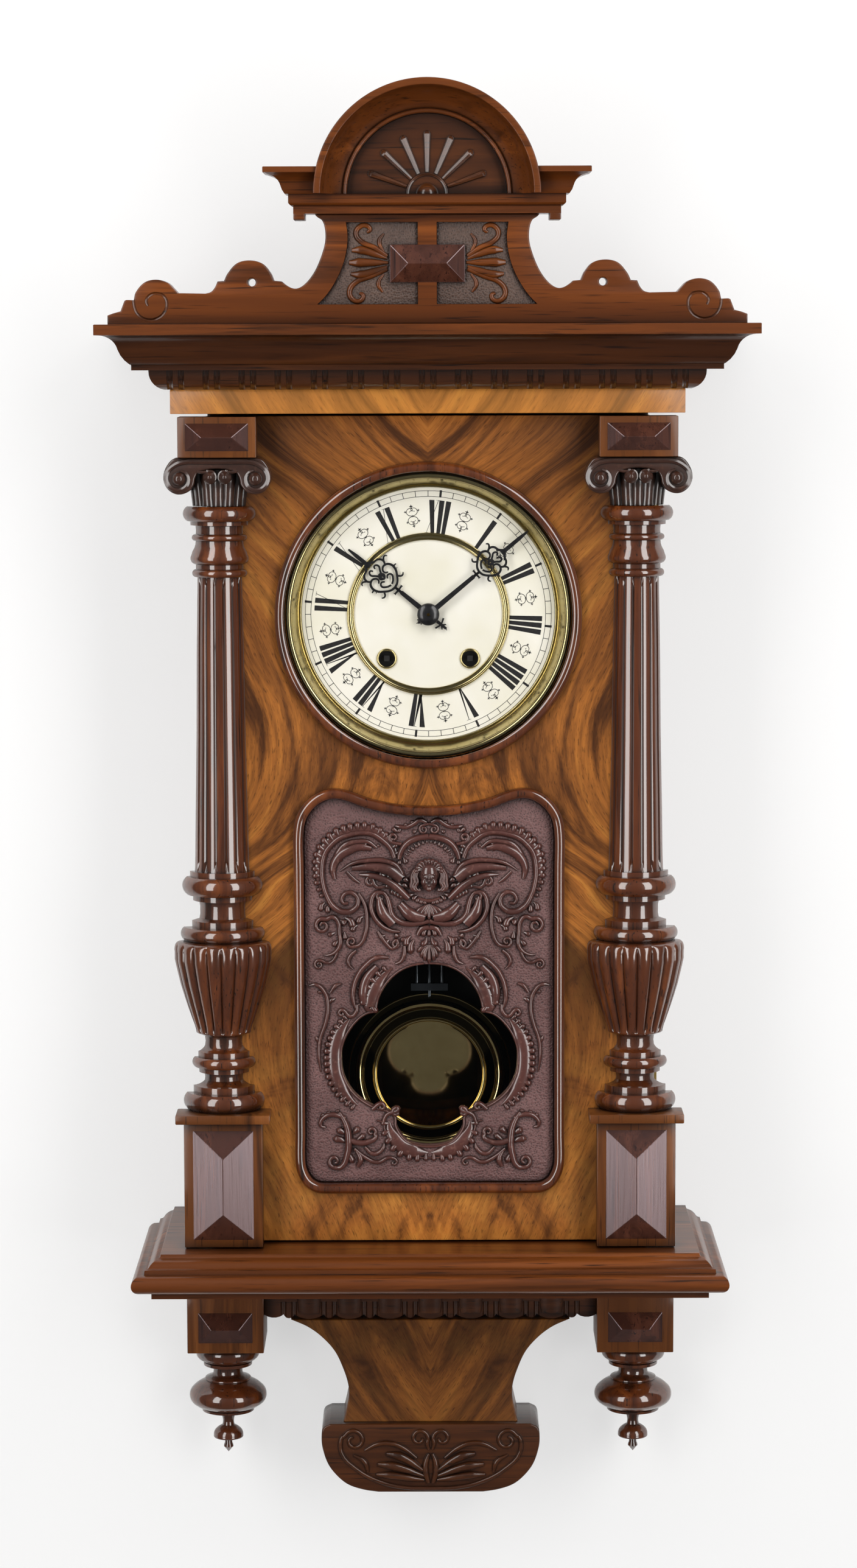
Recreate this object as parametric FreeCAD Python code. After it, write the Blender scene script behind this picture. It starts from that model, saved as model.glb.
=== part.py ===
import FreeCAD, Part
import math
import os

# Longcase-style wall regulator: millimetres, +Z up, the front looks along -Y.
# The origin is the hook hole of the hanging plate, on the wall plane y = 0.
# Depths D are distances in front of the wall, so a depth D lies at y = -D.
# Heights H are measured from the dial centre.

os.makedirs("parts", exist_ok=True)

DIAL_BELOW_HANGER = 165.0

# Case
BACK_T = 12.0
CASE_HALF_W = 147.5
CASE_WALL = 11.0
CASE_DEPTH = 93.5
CASE_TOP_H = 134.9
BASE_TOP_H = -427.0
SEAT_GAP = 0.1
FRIEZE_LOW_H = CASE_TOP_H + SEAT_GAP
DOOR_REAR_GAP = 0.5
DOOR_REAR = CASE_DEPTH + DOOR_REAR_GAP
DOOR_T = 18.0
DOOR_FRONT = DOOR_REAR + DOOR_T
DOOR_TOP_GAP = 2.0
DOOR_TOP_H = FRIEZE_LOW_H - DOOR_TOP_GAP
DOOR_LOW_GAP = 1.2
DOOR_LOW_H = BASE_TOP_H + DOOR_LOW_GAP
PANEL_FIT = 0.2
OVERRUN = 2.0

# Top of the case
FRIEZE_OUT = 22.2
FRIEZE_HALF_W = CASE_HALF_W + FRIEZE_OUT
FRIEZE_OVERHANG = 24.0
FRIEZE_DEPTH = DOOR_FRONT + FRIEZE_OVERHANG
FRIEZE_HIGH = 16.0
FRIEZE_TOP_H = FRIEZE_LOW_H + FRIEZE_HIGH
BAND_HIGH = 12.8
BAND_TOP_H = FRIEZE_TOP_H + BAND_HIGH
BAND_LOW_OUT = 3.5
BAND_TOP_OUT = 13.0
BAND_SHARES = [(0.34, 0.2), (0.5, 0.45), (0.75, 0.72), (1.0, 1.0)]
FLUTE_PAIRS = 15
FLUTE_END = 4.5
FLUTE_PITCH = (FRIEZE_HALF_W - FLUTE_END) * 2 / (FLUTE_PAIRS - 1)
FLUTE_W = 4.2
FLUTE_SPACING = 7.4
FLUTE_CUT = 1.6
CORNICE_HIGH = 29.7
CORNICE_TOP_H = BAND_TOP_H + CORNICE_HIGH
CORNICE_OUT = 46.0
CORNICE_SHARES = [
    (0.511, 0.0), (0.511, 0.114), (0.528, 0.155), (0.574, 0.205), (0.635, 0.296),
    (0.67, 0.37), (0.692, 0.444), (0.718, 0.54), (0.757, 0.643), (0.823, 0.70), (0.896, 0.76),
    (1.0, 0.765), (1.0, 1.0),
]

# Crest
CREST_REAR = 100.0
CREST_T = 20.0
CREST_FACE = CREST_REAR + CREST_T
CREST_HIGH = 68.0
CREST_OUT = 36.3
CREST_HALF_W = FRIEZE_HALF_W + CREST_OUT
CREST_SHARES = [
    (1.0, 0.0), (1.0, 0.074), (0.976, 0.088), (0.961, 0.147), (0.951, 0.2), (0.934, 0.212),
    (0.944, 0.27), (0.937, 0.34), (0.917, 0.4), (0.888, 0.435), (0.85, 0.432), (0.818, 0.39),
    (0.798, 0.318), (0.707, 0.31), (0.68, 0.324), (0.655, 0.352), (0.645, 0.42), (0.632, 0.505),
    (0.605, 0.575), (0.57, 0.61), (0.535, 0.585), (0.508, 0.515), (0.493, 0.42), (0.468, 0.404),
    (0.447, 0.367), (0.425, 0.345), (0.404, 0.358), (0.382, 0.4), (0.363, 0.47), (0.349, 0.56),
    (0.337, 0.68), (0.33, 0.8), (0.327, 0.88), (0.332, 0.95), (0.345, 1.0),
]
EAR_HOLE_SHARES = (0.5626, 0.4044)
EAR_HOLE_R = 2.6
ARCH_R = 74.3
ENTAB_MARGIN = 5.7
ENTAB_HALF_W = ARCH_R + ENTAB_MARGIN
ENTAB_LOW_H = CORNICE_TOP_H + CREST_HIGH
ENTAB_HIGH = 34.1
ENTAB_OUT = 27.3
ENTAB_SHARES = [
    (0.293, 0.0), (0.293, 0.264), (0.33, 0.27), (0.415, 0.33), (0.415, 0.484),
    (0.5, 0.5), (0.56, 0.6), (0.66, 0.7), (0.8, 0.8), (0.93, 0.87), (1.0, 0.9), (1.0, 1.0),
]
ARCH_SINK = 17.3
ARCH_H = ENTAB_LOW_H + ENTAB_HIGH - ARCH_SINK
ARCH_OUT = 30.0
ARCH_DEPTH = CREST_FACE + ARCH_OUT
ARCH_LIP = 4.7
ARCH_COVE_W = 17.0
ARCH_INNER_R = ARCH_R - ARCH_LIP - ARCH_COVE_W
ARCH_BEAD_OUT = 7.0
ARCH_BEAD_DEPTH = CREST_FACE + ARCH_BEAD_OUT
ARCH_COVE_SHARES = [
    (0.94, 0.83), (0.84, 0.62), (0.66, 0.38), (0.42, 0.18), (0.18, 0.08), (0.17, 0.16),
    (0.08, 0.18), (0.0, 0.08),
]
SUN_OUT = 3.0
SUN_FACE = CREST_FACE + SUN_OUT
SUN_FIT = 0.3
SUN_HUB_R = 7.2
SUN_RING_R = 13.0
SUN_RING_HIGH = 1.6
RAY_COUNT = 7
RAY_FIRST_SHARE = 1 / 9
RAY_INNER_R = 13.2
RAY_MARGIN = 11.1
RAY_OUTER_R = ARCH_INNER_R - RAY_MARGIN
RAY_ROOT_W = 2.4
RAY_TIP_W = 4.2
RAY_HIGH = 2.2
TABLET_RISE = 39.7
TABLET_H = CORNICE_TOP_H + TABLET_RISE
TABLET_HALF_W = 24.6
TABLET_HALF_H = 12.2
TABLET_HIGH = 7.5
TABLET_RIDGE = 12.8

# Base and apron
BASE_SIDE_OUT = 33.5
BASE_HALF_W = CASE_HALF_W + BASE_SIDE_OUT
BASE_OVERHANG = 35.0
BASE_DEPTH = DOOR_FRONT + BASE_OVERHANG
BASE_HIGH = 29.2
BASE_LOW_H = BASE_TOP_H - BASE_HIGH
BASE_OUT = 19.0
BASE_SHARES = [
    (0.32, 0.0), (0.32, 0.17), (0.78, 0.185), (0.93, 0.24), (0.985, 0.32), (1.0, 0.39),
    (0.985, 0.46), (0.93, 0.54), (0.78, 0.598), (0.56, 0.605), (0.53, 0.72), (0.4, 0.75),
    (0.27, 0.81), (0.13, 0.89), (0.05, 0.95), (0.0, 0.97), (0.0, 1.0),
]
LOW_BLOCK_INSET = 4.9
LOW_BLOCK_X = CASE_HALF_W - LOW_BLOCK_INSET
LOW_BLOCK_HALF_W = 26.6
LOW_BLOCK_DEPTH = 60.0
LOW_BLOCK_HIGH = 61.9
LOW_BLOCK_END_H = BASE_LOW_H - LOW_BLOCK_HIGH
LOW_PYRAMID_SIDE = 7.6
LOW_PYRAMID_HALF_W = LOW_BLOCK_HALF_W - LOW_PYRAMID_SIDE
LOW_PYRAMID_HALF_H = 10.8
LOW_PYRAMID_RISE = 18.1
LOW_PYRAMID_H = LOW_BLOCK_END_H + LOW_PYRAMID_RISE
LOW_PYRAMID_RIDGE = 9.6
PYRAMID_HIGH = 7.0
RAIL_HALF_W = LOW_BLOCK_X - LOW_BLOCK_HALF_W
LOW_RAIL_DEPTH = 50.0
LOW_RAIL_HIGH = 40.4
LOW_RAIL_END_H = BASE_LOW_H - LOW_RAIL_HIGH
LOW_FLUTE_PAIRS = 8
LOW_FLUTE_END = 17.3
LOW_FLUTE_PITCH = (RAIL_HALF_W - LOW_FLUTE_END) * 2 / (LOW_FLUTE_PAIRS - 1)
FINIAL_DEPTH = LOW_BLOCK_DEPTH / 2
FINIAL_HIGH = 78.5
FINIAL_R = 27.2
FINIAL_SHARES = [
    (0.0, 0.0), (0.73, 0.0), (0.81, 0.037), (0.816, 0.09), (0.71, 0.14), (0.545, 0.157),
    (0.632, 0.162), (0.625, 0.19), (0.4, 0.197), (0.375, 0.228), (0.375, 0.26), (0.456, 0.292),
    (0.58, 0.307), (0.58, 0.328), (0.64, 0.338), (0.8, 0.364), (0.9, 0.395), (0.975, 0.432),
    (1.0, 0.475), (0.97, 0.515), (0.875, 0.545), (0.647, 0.582), (0.673, 0.587), (0.67, 0.608),
    (0.368, 0.615), (0.221, 0.633), (0.158, 0.676), (0.143, 0.722), (0.158, 0.748), (0.25, 0.76),
    (0.31, 0.781), (0.365, 0.81), (0.382, 0.845), (0.36, 0.862), (0.1, 0.868), (0.096, 0.911),
    (0.121, 0.934), (0.125, 0.95), (0.0, 1.0),
]
APRON_OUT = 6.0
APRON_DEPTH = LOW_RAIL_DEPTH + APRON_OUT
NECK_INSET = 18.7
NECK_HALF_W = RAIL_HALF_W - NECK_INSET
NECK_HIGH = 73.3
NECK_SHARES = [
    (1.0, 0.0), (0.876, 0.075), (0.774, 0.177), (0.685, 0.314), (0.627, 0.48), (0.592, 0.634),
    (0.588, 0.753), (0.605, 0.87), (0.627, 1.0),
]
TAIL_HALF_W = 76.3
TAIL_HIGH = 48.8
TAIL_SHARES = [
    (0.92, 0.0), (0.985, 0.09), (1.0, 0.2), (0.99, 0.36), (0.941, 0.588), (0.86, 0.76),
    (0.758, 0.89), (0.62, 0.965), (0.48, 1.0),
]

# Door
COLUMN_INSET = 8.3
COLUMN_X = CASE_HALF_W - COLUMN_INSET
COLUMN_SPACE = 40.0
DOOR_HOLE_R = COLUMN_X - COLUMN_SPACE
RING_LAP = 3.8
RING_OUTER_R = DOOR_HOLE_R + RING_LAP
RING_LIP = 2.9
RING_INNER_R = DOOR_HOLE_R - RING_LIP
RING_HIGH = 7.0
RING_DEPTH = DOOR_FRONT + RING_HIGH
RING_SHARES = [
    (0.0, 0.0), (0.0, 0.55), (0.12, 0.85), (0.38, 1.0), (0.7, 0.92), (0.93, 0.6), (1.0, 0.2), (1.0, 0.0),
]
GLASS_MARGIN = 0.6
GLASS_R = DOOR_HOLE_R - GLASS_MARGIN
GLASS_T = 1.6
GLASS_GAP = 1.2
GLASS_SEAT_GAP = 0.3
FRAME_SPACE = 48.0
FRAME_HALF_W = COLUMN_X - FRAME_SPACE
FRAME_TOP_SPACE = 12.9
FRAME_TOP_H = -RING_OUTER_R - FRAME_TOP_SPACE
FRAME_FOOT = 33.1
FRAME_HIGH = FRAME_TOP_H - DOOR_LOW_H - FRAME_FOOT
FRAME_W = 6.9
FRAME_OUT = 6.0
FRAME_DEPTH = DOOR_FRONT + FRAME_OUT
FRAME_SHARES = [
    (0.0, -0.043), (0.22, -0.039), (0.44, -0.024), (0.57, -0.008), (0.68, 0.0), (0.79, -0.006),
    (0.9, -0.03), (0.975, -0.067), (1.0, -0.112), (1.0, -0.925), (0.975, -0.957),
    (0.925, -0.982), (0.85, -0.997), (0.77, -1.0), (0.0, -1.0),
]
PANEL_T = 8.0
PANEL_SINK = 2.0
PANEL_DEPTH = DOOR_FRONT - PANEL_SINK
OPENING_DROP = 120.3
OPENING_TOP_H = FRAME_TOP_H - OPENING_DROP
OPENING_SIDE = 25.0
OPENING_HALF_W = FRAME_HALF_W - FRAME_W - OPENING_SIDE
OPENING_FOOT = 32.1
OPENING_HIGH = FRAME_HIGH - OPENING_DROP - OPENING_FOOT
OPENING_SHARES = [
    (0.0, 0.0), (0.24, -0.019), (0.43, -0.079), (0.556, -0.167), (0.607, -0.26), (0.76, -0.288),
    (0.9, -0.36), (0.98, -0.44), (1.0, -0.51), (0.975, -0.61), (0.86, -0.706), (0.67, -0.774),
    (0.455, -0.807), (0.385, -0.84), (0.37, -0.9), (0.26, -0.971), (0.12, -0.995), (0.0, -1.0),
]
LOWER_GLASS_T = 2.0
LOWER_GLASS_MARGIN = 9.0
CAPITAL_TOP_H = 106.2
BELL_HIGH = 32.6
PEDESTAL_HIGH = 92.6
PEDESTAL_TOP_H = BASE_TOP_H + PEDESTAL_HIGH
COLUMN_SINK = 5.0
COLUMN_TOP_H = CAPITAL_TOP_H - BELL_HIGH - PANEL_FIT
COLUMN_HIGH = COLUMN_TOP_H - PEDESTAL_TOP_H - PANEL_FIT
COLUMN_R = 33.1
FLUTES = 10
FLUTE_STEPS = 4
SHAFT_TOP_R = 15.6
SHAFT_LOW_R = 19.1
SHAFT_TOP_SHARE = 0.116
SHAFT_LOW_SHARE = 0.601
SHAFT_FLUTE = 1.5
COLUMN_TOP_SHARES = [
    (0.0, 0.0), (0.64, 0.0), (0.72, 0.004), (0.76, 0.012), (0.72, 0.021), (0.64, 0.0245),
    (0.6, 0.025), (0.6, 0.0315), (0.5, 0.032), (0.5, 0.044), (0.565, 0.046), (0.565, 0.057),
    (0.5, 0.06), (0.56, 0.068), (0.59, 0.076), (0.57, 0.088), (0.5, 0.098), (0.57, 0.103),
    (0.57, 0.116), (0.0, 0.116),
]
COLUMN_LOW_SHARES = [
    (0.0, 0.601), (0.675, 0.601), (0.675, 0.608), (0.76, 0.61), (0.83, 0.617), (0.83, 0.632),
    (0.76, 0.64), (0.62, 0.641), (0.62, 0.65), (0.5, 0.652), (0.47, 0.665), (0.5, 0.682),
    (0.64, 0.683), (0.64, 0.692), (0.8, 0.694), (0.87, 0.7), (0.86, 0.713), (0.92, 0.718),
    (0.99, 0.724), (1.0, 0.735), (0.97, 0.76), (0.89, 0.79), (0.78, 0.82), (0.66, 0.85),
    (0.59, 0.868), (0.57, 0.872), (0.42, 0.876), (0.4, 0.887), (0.43, 0.9), (0.545, 0.903),
    (0.545, 0.91), (0.64, 0.912), (0.69, 0.92), (0.64, 0.929), (0.53, 0.93), (0.53, 0.938),
    (0.41, 0.94), (0.4, 0.95), (0.42, 0.957), (0.63, 0.96), (0.63, 0.968), (0.78, 0.971),
    (0.83, 0.98), (0.83, 0.99), (0.79, 1.0), (0.0, 1.0),
]
CAPITAL_HALF_W = 34.5
CAPITAL_OUT = 26.0
CAPITAL_DEPTH = DOOR_FRONT + CAPITAL_OUT
ABACUS_HIGH = 3.6
VOLUTE_R = 10.4
VOLUTE_INSET = 9.3
VOLUTE_X = CAPITAL_HALF_W - VOLUTE_INSET
VOLUTE_OUT = 23.0
VOLUTE_DEPTH = DOOR_FRONT + VOLUTE_OUT
BELL_R = 22.0
BELL_SHARES = [
    (0.0, 0.11), (1.0, 0.11), (1.0, 0.3), (0.93, 0.5), (0.9, 0.7), (0.93, 0.9), (0.97, 1.0), (0.0, 1.0),
]
BLOCK_HALF_W = 25.9
BLOCK_OUT = 25.0
BLOCK_DEPTH = DOOR_FRONT + BLOCK_OUT
PEDESTAL_HALF_W = 26.4
PEDESTAL_OUT = 20.0
PEDESTAL_DEPTH = DOOR_FRONT + PEDESTAL_OUT
PEDESTAL_CAP_HIGH = 6.2
PEDESTAL_CAP_OUT = 5.4
TOP_PYRAMID_SIDE = 4.9
TOP_PYRAMID_HALF_W = BLOCK_HALF_W - TOP_PYRAMID_SIDE
TOP_PYRAMID_SHARE = 0.687
TOP_PYRAMID_HALF_H = (DOOR_TOP_H - CAPITAL_TOP_H) / 2 * TOP_PYRAMID_SHARE
TOP_PYRAMID_RIDGE = 10.0
PED_PYRAMID_SIDE = 5.9
PED_PYRAMID_HALF_W = PEDESTAL_HALF_W - PED_PYRAMID_SIDE
PED_PYRAMID_END = 5.1
PED_CAP_LOW_H = PEDESTAL_TOP_H - PEDESTAL_CAP_HIGH
PED_PYRAMID_HALF_H = (PED_CAP_LOW_H - DOOR_LOW_H) / 2 - PED_PYRAMID_END
PED_PYRAMID_RIDGE = 19.0
HINGE_OUT = 4.1
HINGE_X = CASE_HALF_W + HINGE_OUT
HINGE_R = 3.2
HINGE_PIN_R = 1.4
HINGE_FIT = 0.05
HINGE_HIGH = 48.0
HINGE_TOP_DROP = 71.0
HINGE_LOW_RISE = 95.8
HINGE_HEIGHTS = [DOOR_TOP_H - HINGE_TOP_DROP, DOOR_LOW_H + HINGE_LOW_RISE]
LEAF_T = 1.2
LEAF_W = 26.0
KNUCKLE_GAP = 0.3

# Dial
DOOR_HOLE_GAP = 3.2
SURROUND_R = DOOR_HOLE_R - DOOR_HOLE_GAP
SURROUND_W = 11.0
DIAL_R = SURROUND_R - SURROUND_W
DIAL_T = 1.4
DIAL_SINK = 14.6
DIAL_DEPTH = DOOR_FRONT - DIAL_SINK
DIAL_REAR = DIAL_DEPTH - DIAL_T
SURROUND_OUT = 0.6
SURROUND_DEPTH = DOOR_FRONT + SURROUND_OUT
SURROUND_STEP = 6.0
SURROUND_FLANGE_R = SURROUND_R - SURROUND_STEP
SURROUND_LIP = 4.6
SURROUND_COVE_SHARES = [(0.86, 0.6), (0.66, 0.36), (0.36, 0.16), (0.1, 0.08), (0.0, 0.06)]
DIAL_HOLE_R = 4.2
INNER_RING_INSET = 30.3
INNER_RING_R = DIAL_R - INNER_RING_INSET
INNER_RING_W = 4.9
INNER_RING_HIGH = 1.3
WIND_X = 28.0
WIND_H = -30.0
GROMMET_R = 6.9
GROMMET_HOLE_R = 5.3
GROMMET_HIGH = 1.6

# Movement frame
PLATE_T = 2.0
DIAL_FOOT = 5.5
PLATE_FRONT = DIAL_REAR - DIAL_FOOT
PLATE_GAP = 38.0
FRONT_IN = PLATE_FRONT - PLATE_T
BACK_IN = FRONT_IN - PLATE_GAP
BACK_OUT = BACK_IN - PLATE_T
PLATE_HALF_W = 55.0
PLATE_TOP_H = 49.0
PLATE_LOW_H = -60.0
PILLAR_R = 3.2
PILLAR_INSET = 5.0
PIVOT_R = 0.9
ARBOR_R = 1.1
PIVOT_FIT = 0.05
BRACKET_X = 50.0
BRACKET_W = 9.0
BRACKET_TOP_H = -50.0
BRACKET_HIGH = 13.0
BRACKET_FOOT_T = 4.0
BRACKET_FOOT_OUT = 9.0
SUSPENSION_H = 41.0
PENDULUM_SHARE = 0.7423
PENDULUM_DEPTH = BACK_OUT * PENDULUM_SHARE
COCK_W = 12.0
COCK_TOP_H = 52.0
COCK_LOW_H = 46.0
COCK_CHEEK_T = 2.0
COCK_CHEEK_GAP = 3.0
COCK_PIN_R = 1.2

# Going and striking trains
TOOTH_SHARE = 0.40
ADDENDUM_SHARE = 0.75
DEDENDUM_SHARE = 1.05
WHEEL_T = 1.6
PRESSURE_DEGREES = 20
GREAT_TEETH = 78
GREAT_MODULE = 0.65
LEAVES = 10
SECOND_TEETH = 60
SECOND_MODULE = 0.5
CENTRE_TEETH = 72
CENTRE_MODULE = 0.42
THIRD_LEAVES = 8
THIRD_TEETH = 88
THIRD_MODULE = 0.3
ESCAPE_LEAVES = 8
ESCAPE_TEETH = 30
ESCAPE_R = 9.3
ESCAPE_ROOT_R = 7.4
ESCAPE_LAG_SHARES = [(0.0, 0.0), (1.0, 0.095), (1.0, 0.24), (0.0, 0.57)]
ESCAPE_H = 27.0
WARNING_TEETH = 56
WARNING_LEAVES = 8
WARNING_MODULE = 0.4
FLY_LEAVES = 8
STRIKE_LEAN_DEGREES = 94
WARNING_LEAN_DEGREES = 72
FLY_LEAN_DEGREES = 127
MOTION_LEAN_DEGREES = 233
DRUM_R = 22.6
DRUM_END_GAP = 8.0
DRUM_DEPTHS = (BACK_IN + DRUM_END_GAP, FRONT_IN - DRUM_END_GAP)
DRUM_WALL = 1.0
SPRING_T = 0.5
SPRING_TURNS = 9
SPRING_PITCH = 1.6
SPRING_LOW_R = 6.0
BARREL_ARBOR_R = 3.0
SQUARE_HALF = 1.9
SQUARE_SINK = 1.0
SQUARE_TIP = DIAL_DEPTH - SQUARE_SINK
RATCHET_R = 9.0
RATCHET_TEETH = 20
RATCHET_CUT = 1.6
RATCHET_LEAN_SHARE = 0.08
RATCHET_GAP = 0.7
RATCHET_DEPTH = PLATE_FRONT + RATCHET_GAP
CLICK_R = 2.4
CLICK_LENGTH = 9.0
CLICK_W = 2.6
CLICK_OFFSET = 3.1
FLY_HALF_W = 6.5
FLY_T = 0.7
CANNON_LEAVES = 12
MINUTE_TEETH = 36
MINUTE_LEAVES = 10
HOUR_TEETH = 40
CANNON_MODULE = 0.5
MOTION_T = 1.2
MOTION_GAP = 0.5
CANNON_R = 2.3
HOUR_PIPE_R = 3.3
HOUR_PIPE_BORE = 2.4
HOUR_HAND_GAP = 2.6
HOUR_HAND_DEPTH = DIAL_DEPTH + HOUR_HAND_GAP
HANDS_GAP = 3.0
MINUTE_HAND_DEPTH = HOUR_HAND_DEPTH + HANDS_GAP
HAND_T = 0.8
HAND_BOSS_R = 7.5
HAND_BOSS_HIGH = 2.6
MINUTE_PAST = 2.7
MINUTE_REACH = DIAL_R + MINUTE_PAST
MINUTE_HAND_DEGREES = 50.2
HOUR_SHORT = 15.2
HOUR_REACH = DIAL_R - HOUR_SHORT
HOUR_HAND_DEGREES = 309.2

# Anchor, pendulum, gong and hammer
ANCHOR_GAP = 3.5
ANCHOR_DEPTH = BACK_IN + ANCHOR_GAP
PALLET_X = 7.6
PALLET_W = 1.2
PALLET_H = 33.5
PALLET_HIGH = 2.4
ANCHOR_ARM = 2.6
ANCHOR_HUB_R = 3.0
CRUTCH_GAP = 2.1
CRUTCH_DEPTH = BACK_OUT - CRUTCH_GAP
CRUTCH_T = 1.4
CRUTCH_W = 3.0
CRUTCH_LONG = 52.0
FORK_GAP = 0.6
BOB_RISE = 36.1
BOB_H = OPENING_TOP_H - OPENING_HIGH + BOB_RISE
BOB_R = 56.9
BOB_T = 9.0
BOB_SHARES = [
    (0.0, -1.0), (0.5, -0.95), (0.8, -0.72), (0.93, -0.4), (0.96, -0.2), (1.0, -0.2), (1.0, 0.2),
    (0.96, 0.3), (0.91, 0.62), (0.87, 0.72), (0.83, 0.62), (0.8, 0.5), (0.72, 0.62), (0.69, 0.68),
    (0.66, 0.66), (0.5, 0.86), (0.3, 0.96), (0.0, 1.0),
]
ROD_SPACING = 8.8
ROD_R = 1.7
GRID_TOP_H = 8.0
GRID_CLEAR = 1.6
GRID_LOW_H = BOB_H + BOB_R + GRID_CLEAR
GRID_BAR_HIGH = 5.0
GRID_BAR_OUT = 4.0
SPRING_STRIP_T = 0.4
SPRING_STRIP_W = 5.0
HOOK_HIGH = 9.0
ROD_TAIL = 10.6
CENTRE_ROD_END_H = BOB_H - BOB_R - ROD_TAIL
NUT_R = 5.0
NUT_HIGH = 5.0
GONG_H = -128.0
GONG_R = 40.0
GONG_TURNS = 4
GONG_PITCH = 5.0
GONG_WIRE = 1.8
GONG_GAP = 5.0
GONG_DEPTH = BACK_T + GONG_GAP
GONG_BLOCK_HALF_W = 9.0
GONG_BLOCK_HIGH = 20.0
GONG_STUD_R = 1.6
GONG_STUD_HIGH = 2.0
HAMMER_X = -30.0
HAMMER_H = -18.0
HAMMER_GAP = 3.5
HAMMER_DEPTH = BACK_OUT - HAMMER_GAP
HAMMER_ARM_W = 3.0
HAMMER_ARM_T = 1.6
HAMMER_HEAD_H = -84.0
HAMMER_HEAD_R = 4.0

# Hanging plate
HANGER_T = 2.5
HANGER_HALF_W = 16.0
HANGER_HIGH = 44.0
HANGER_BORE_R = 4.0
HANGER_BORE_FROM_TOP = 14.0
BACK_TOP_H = 186.0
HANGER_SLOT_R = 11.0


def up(h):
    return h - DIAL_BELOW_HANGER


def point(x, depth, h):
    return FreeCAD.Vector(x, -depth, up(h))


def box(x0, x1, d0, d1, h0, h1):
    return Part.makeBox(x1 - x0, d1 - d0, h1 - h0, point(x0, d1, h0))


def plate(outline, d0, d1):
    """A flat piece parallel to the wall, from an outline of (x, h)."""
    wire = Part.makePolygon([point(x, d0, h) for x, h in outline + outline[:1]])
    return Part.Face(wire).extrude(FreeCAD.Vector(0, d0 - d1, 0))


def rod(x, h, r, d0, d1):
    return Part.makeCylinder(r, d1 - d0, point(x, d0, h), FreeCAD.Vector(0, -1, 0))


def hollow_rod(x, h, r, bore, d0, d1):
    return bored(rod(x, h, r, d0, d1), x, h, bore, d0, d1)


def bored(shape, x, h, r, d0, d1):
    """The shape with a hole square to the wall, from depth d0 to d1 and a little past both."""
    return shape.cut(rod(x, h, r, d0 - OVERRUN, d1 + OVERRUN))


def spread(at, reach, degrees):
    """The point that lies a reach away, at an angle counted from +X."""
    a = math.radians(degrees)
    return at[0] + reach * math.cos(a), at[1] + reach * math.sin(a)


def post(x, depth, r, h0, h1):
    return Part.makeCylinder(r, h1 - h0, point(x, depth, h0))


def joined(shapes):
    return shapes[0].multiFuse(shapes[1:]).removeSplitter()


def turned(x, depth, h_top, high, radius, shares):
    """A piece turned about an upright axis; shares run downwards."""
    ring = [point(x + radius * r, depth, h_top - high * s) for r, s in shares]
    wire = Part.makePolygon(ring + ring[:1])
    return Part.Face(wire).revolve(point(x, depth, 0), FreeCAD.Vector(0, 0, 1), 360)


def spun(pairs, x, h, turn=360):
    """A piece turned about an axis square to the wall, from (radius, depth)."""
    ring = [point(x + r, d, h) for r, d in pairs]
    wire = Part.makePolygon(ring + ring[:1])
    return Part.Face(wire).revolve(point(x, 0, h), FreeCAD.Vector(0, -1, 0), turn)


def mitred(half_w, depth, rear, h0, high, out, shares):
    """A moulding mitred round three sides, solid behind."""
    levels = []
    for o, s in shares:
        w = half_w + out * o
        d = depth + out * o
        h = h0 + high * s
        ring = [point(-w, rear, h), point(-w, d, h), point(w, d, h), point(w, rear, h)]
        levels.append((s, Part.makePolygon(ring + ring[:1])))
    solids = []
    for (s0, low), (s1, top) in zip(levels, levels[1:]):
        if s0 != s1:
            solids.append(Part.makeLoft([low, top], True, True))
    return joined(solids)


def both_sides(half_outline):
    """Close a half outline with its mirror image."""
    left = [(-x, h) for x, h in half_outline if x]
    return half_outline + left[::-1]


def scaled(shares, half_w, high, h0):
    return [(half_w * x, h0 + high * h) for x, h in shares]


def inset(outline, distance):
    """The outline moved inwards, corner by corner."""
    area = sum(x0 * h1 - x1 * h0 for (x0, h0), (x1, h1) in zip(outline, outline[1:] + outline[:1]))
    side = 1 if area > 0 else -1
    moved = []
    for k, (x, h) in enumerate(outline):
        x0, h0 = outline[k - 1]
        x1, h1 = outline[(k + 1) % len(outline)]
        a = math.hypot(x - x0, h - h0)
        b = math.hypot(x1 - x, h1 - h)
        n0 = (-(h - h0) / a * side, (x - x0) / a * side)
        n1 = (-(h1 - h) / b * side, (x1 - x) / b * side)
        n = (n0[0] + n1[0], n0[1] + n1[1])
        scale = distance * 2 / (n[0] ** 2 + n[1] ** 2)
        moved.append((x + n[0] * scale, h + n[1] * scale))
    return moved


def pyramid(x, h, half_w, half_h, ridge, d0, high):
    """A diamond-cut block: four slopes up to a short ridge along its longer side."""
    base = [(-half_w, -half_h), (half_w, -half_h), (half_w, half_h), (-half_w, half_h)]
    run = (ridge, 0) if half_w > half_h else (0, ridge)
    b = [point(x + dx, d0, h + dh) for dx, dh in base]
    t0 = point(x - run[0], d0 + high, h - run[1])
    t1 = point(x + run[0], d0 + high, h + run[1])
    if half_w > half_h:
        rings = [[b[0], b[1], t1, t0], [b[1], b[2], t1], [b[2], b[3], t0, t1], [b[3], b[0], t0]]
    else:
        rings = [[b[0], b[1], t0], [b[1], b[2], t1, t0], [b[2], b[3], t1], [b[3], b[0], t0, t1]]
    faces = [Part.Face(Part.makePolygon(r + r[:1])) for r in rings + [b]]
    solid = Part.Solid(Part.Shell(faces))
    if solid.Volume < 0:
        solid.reverse()
    return solid


def involute(t, base):
    return base * (math.cos(t) + t * math.sin(t)), base * (math.sin(t) - t * math.cos(t))


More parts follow.
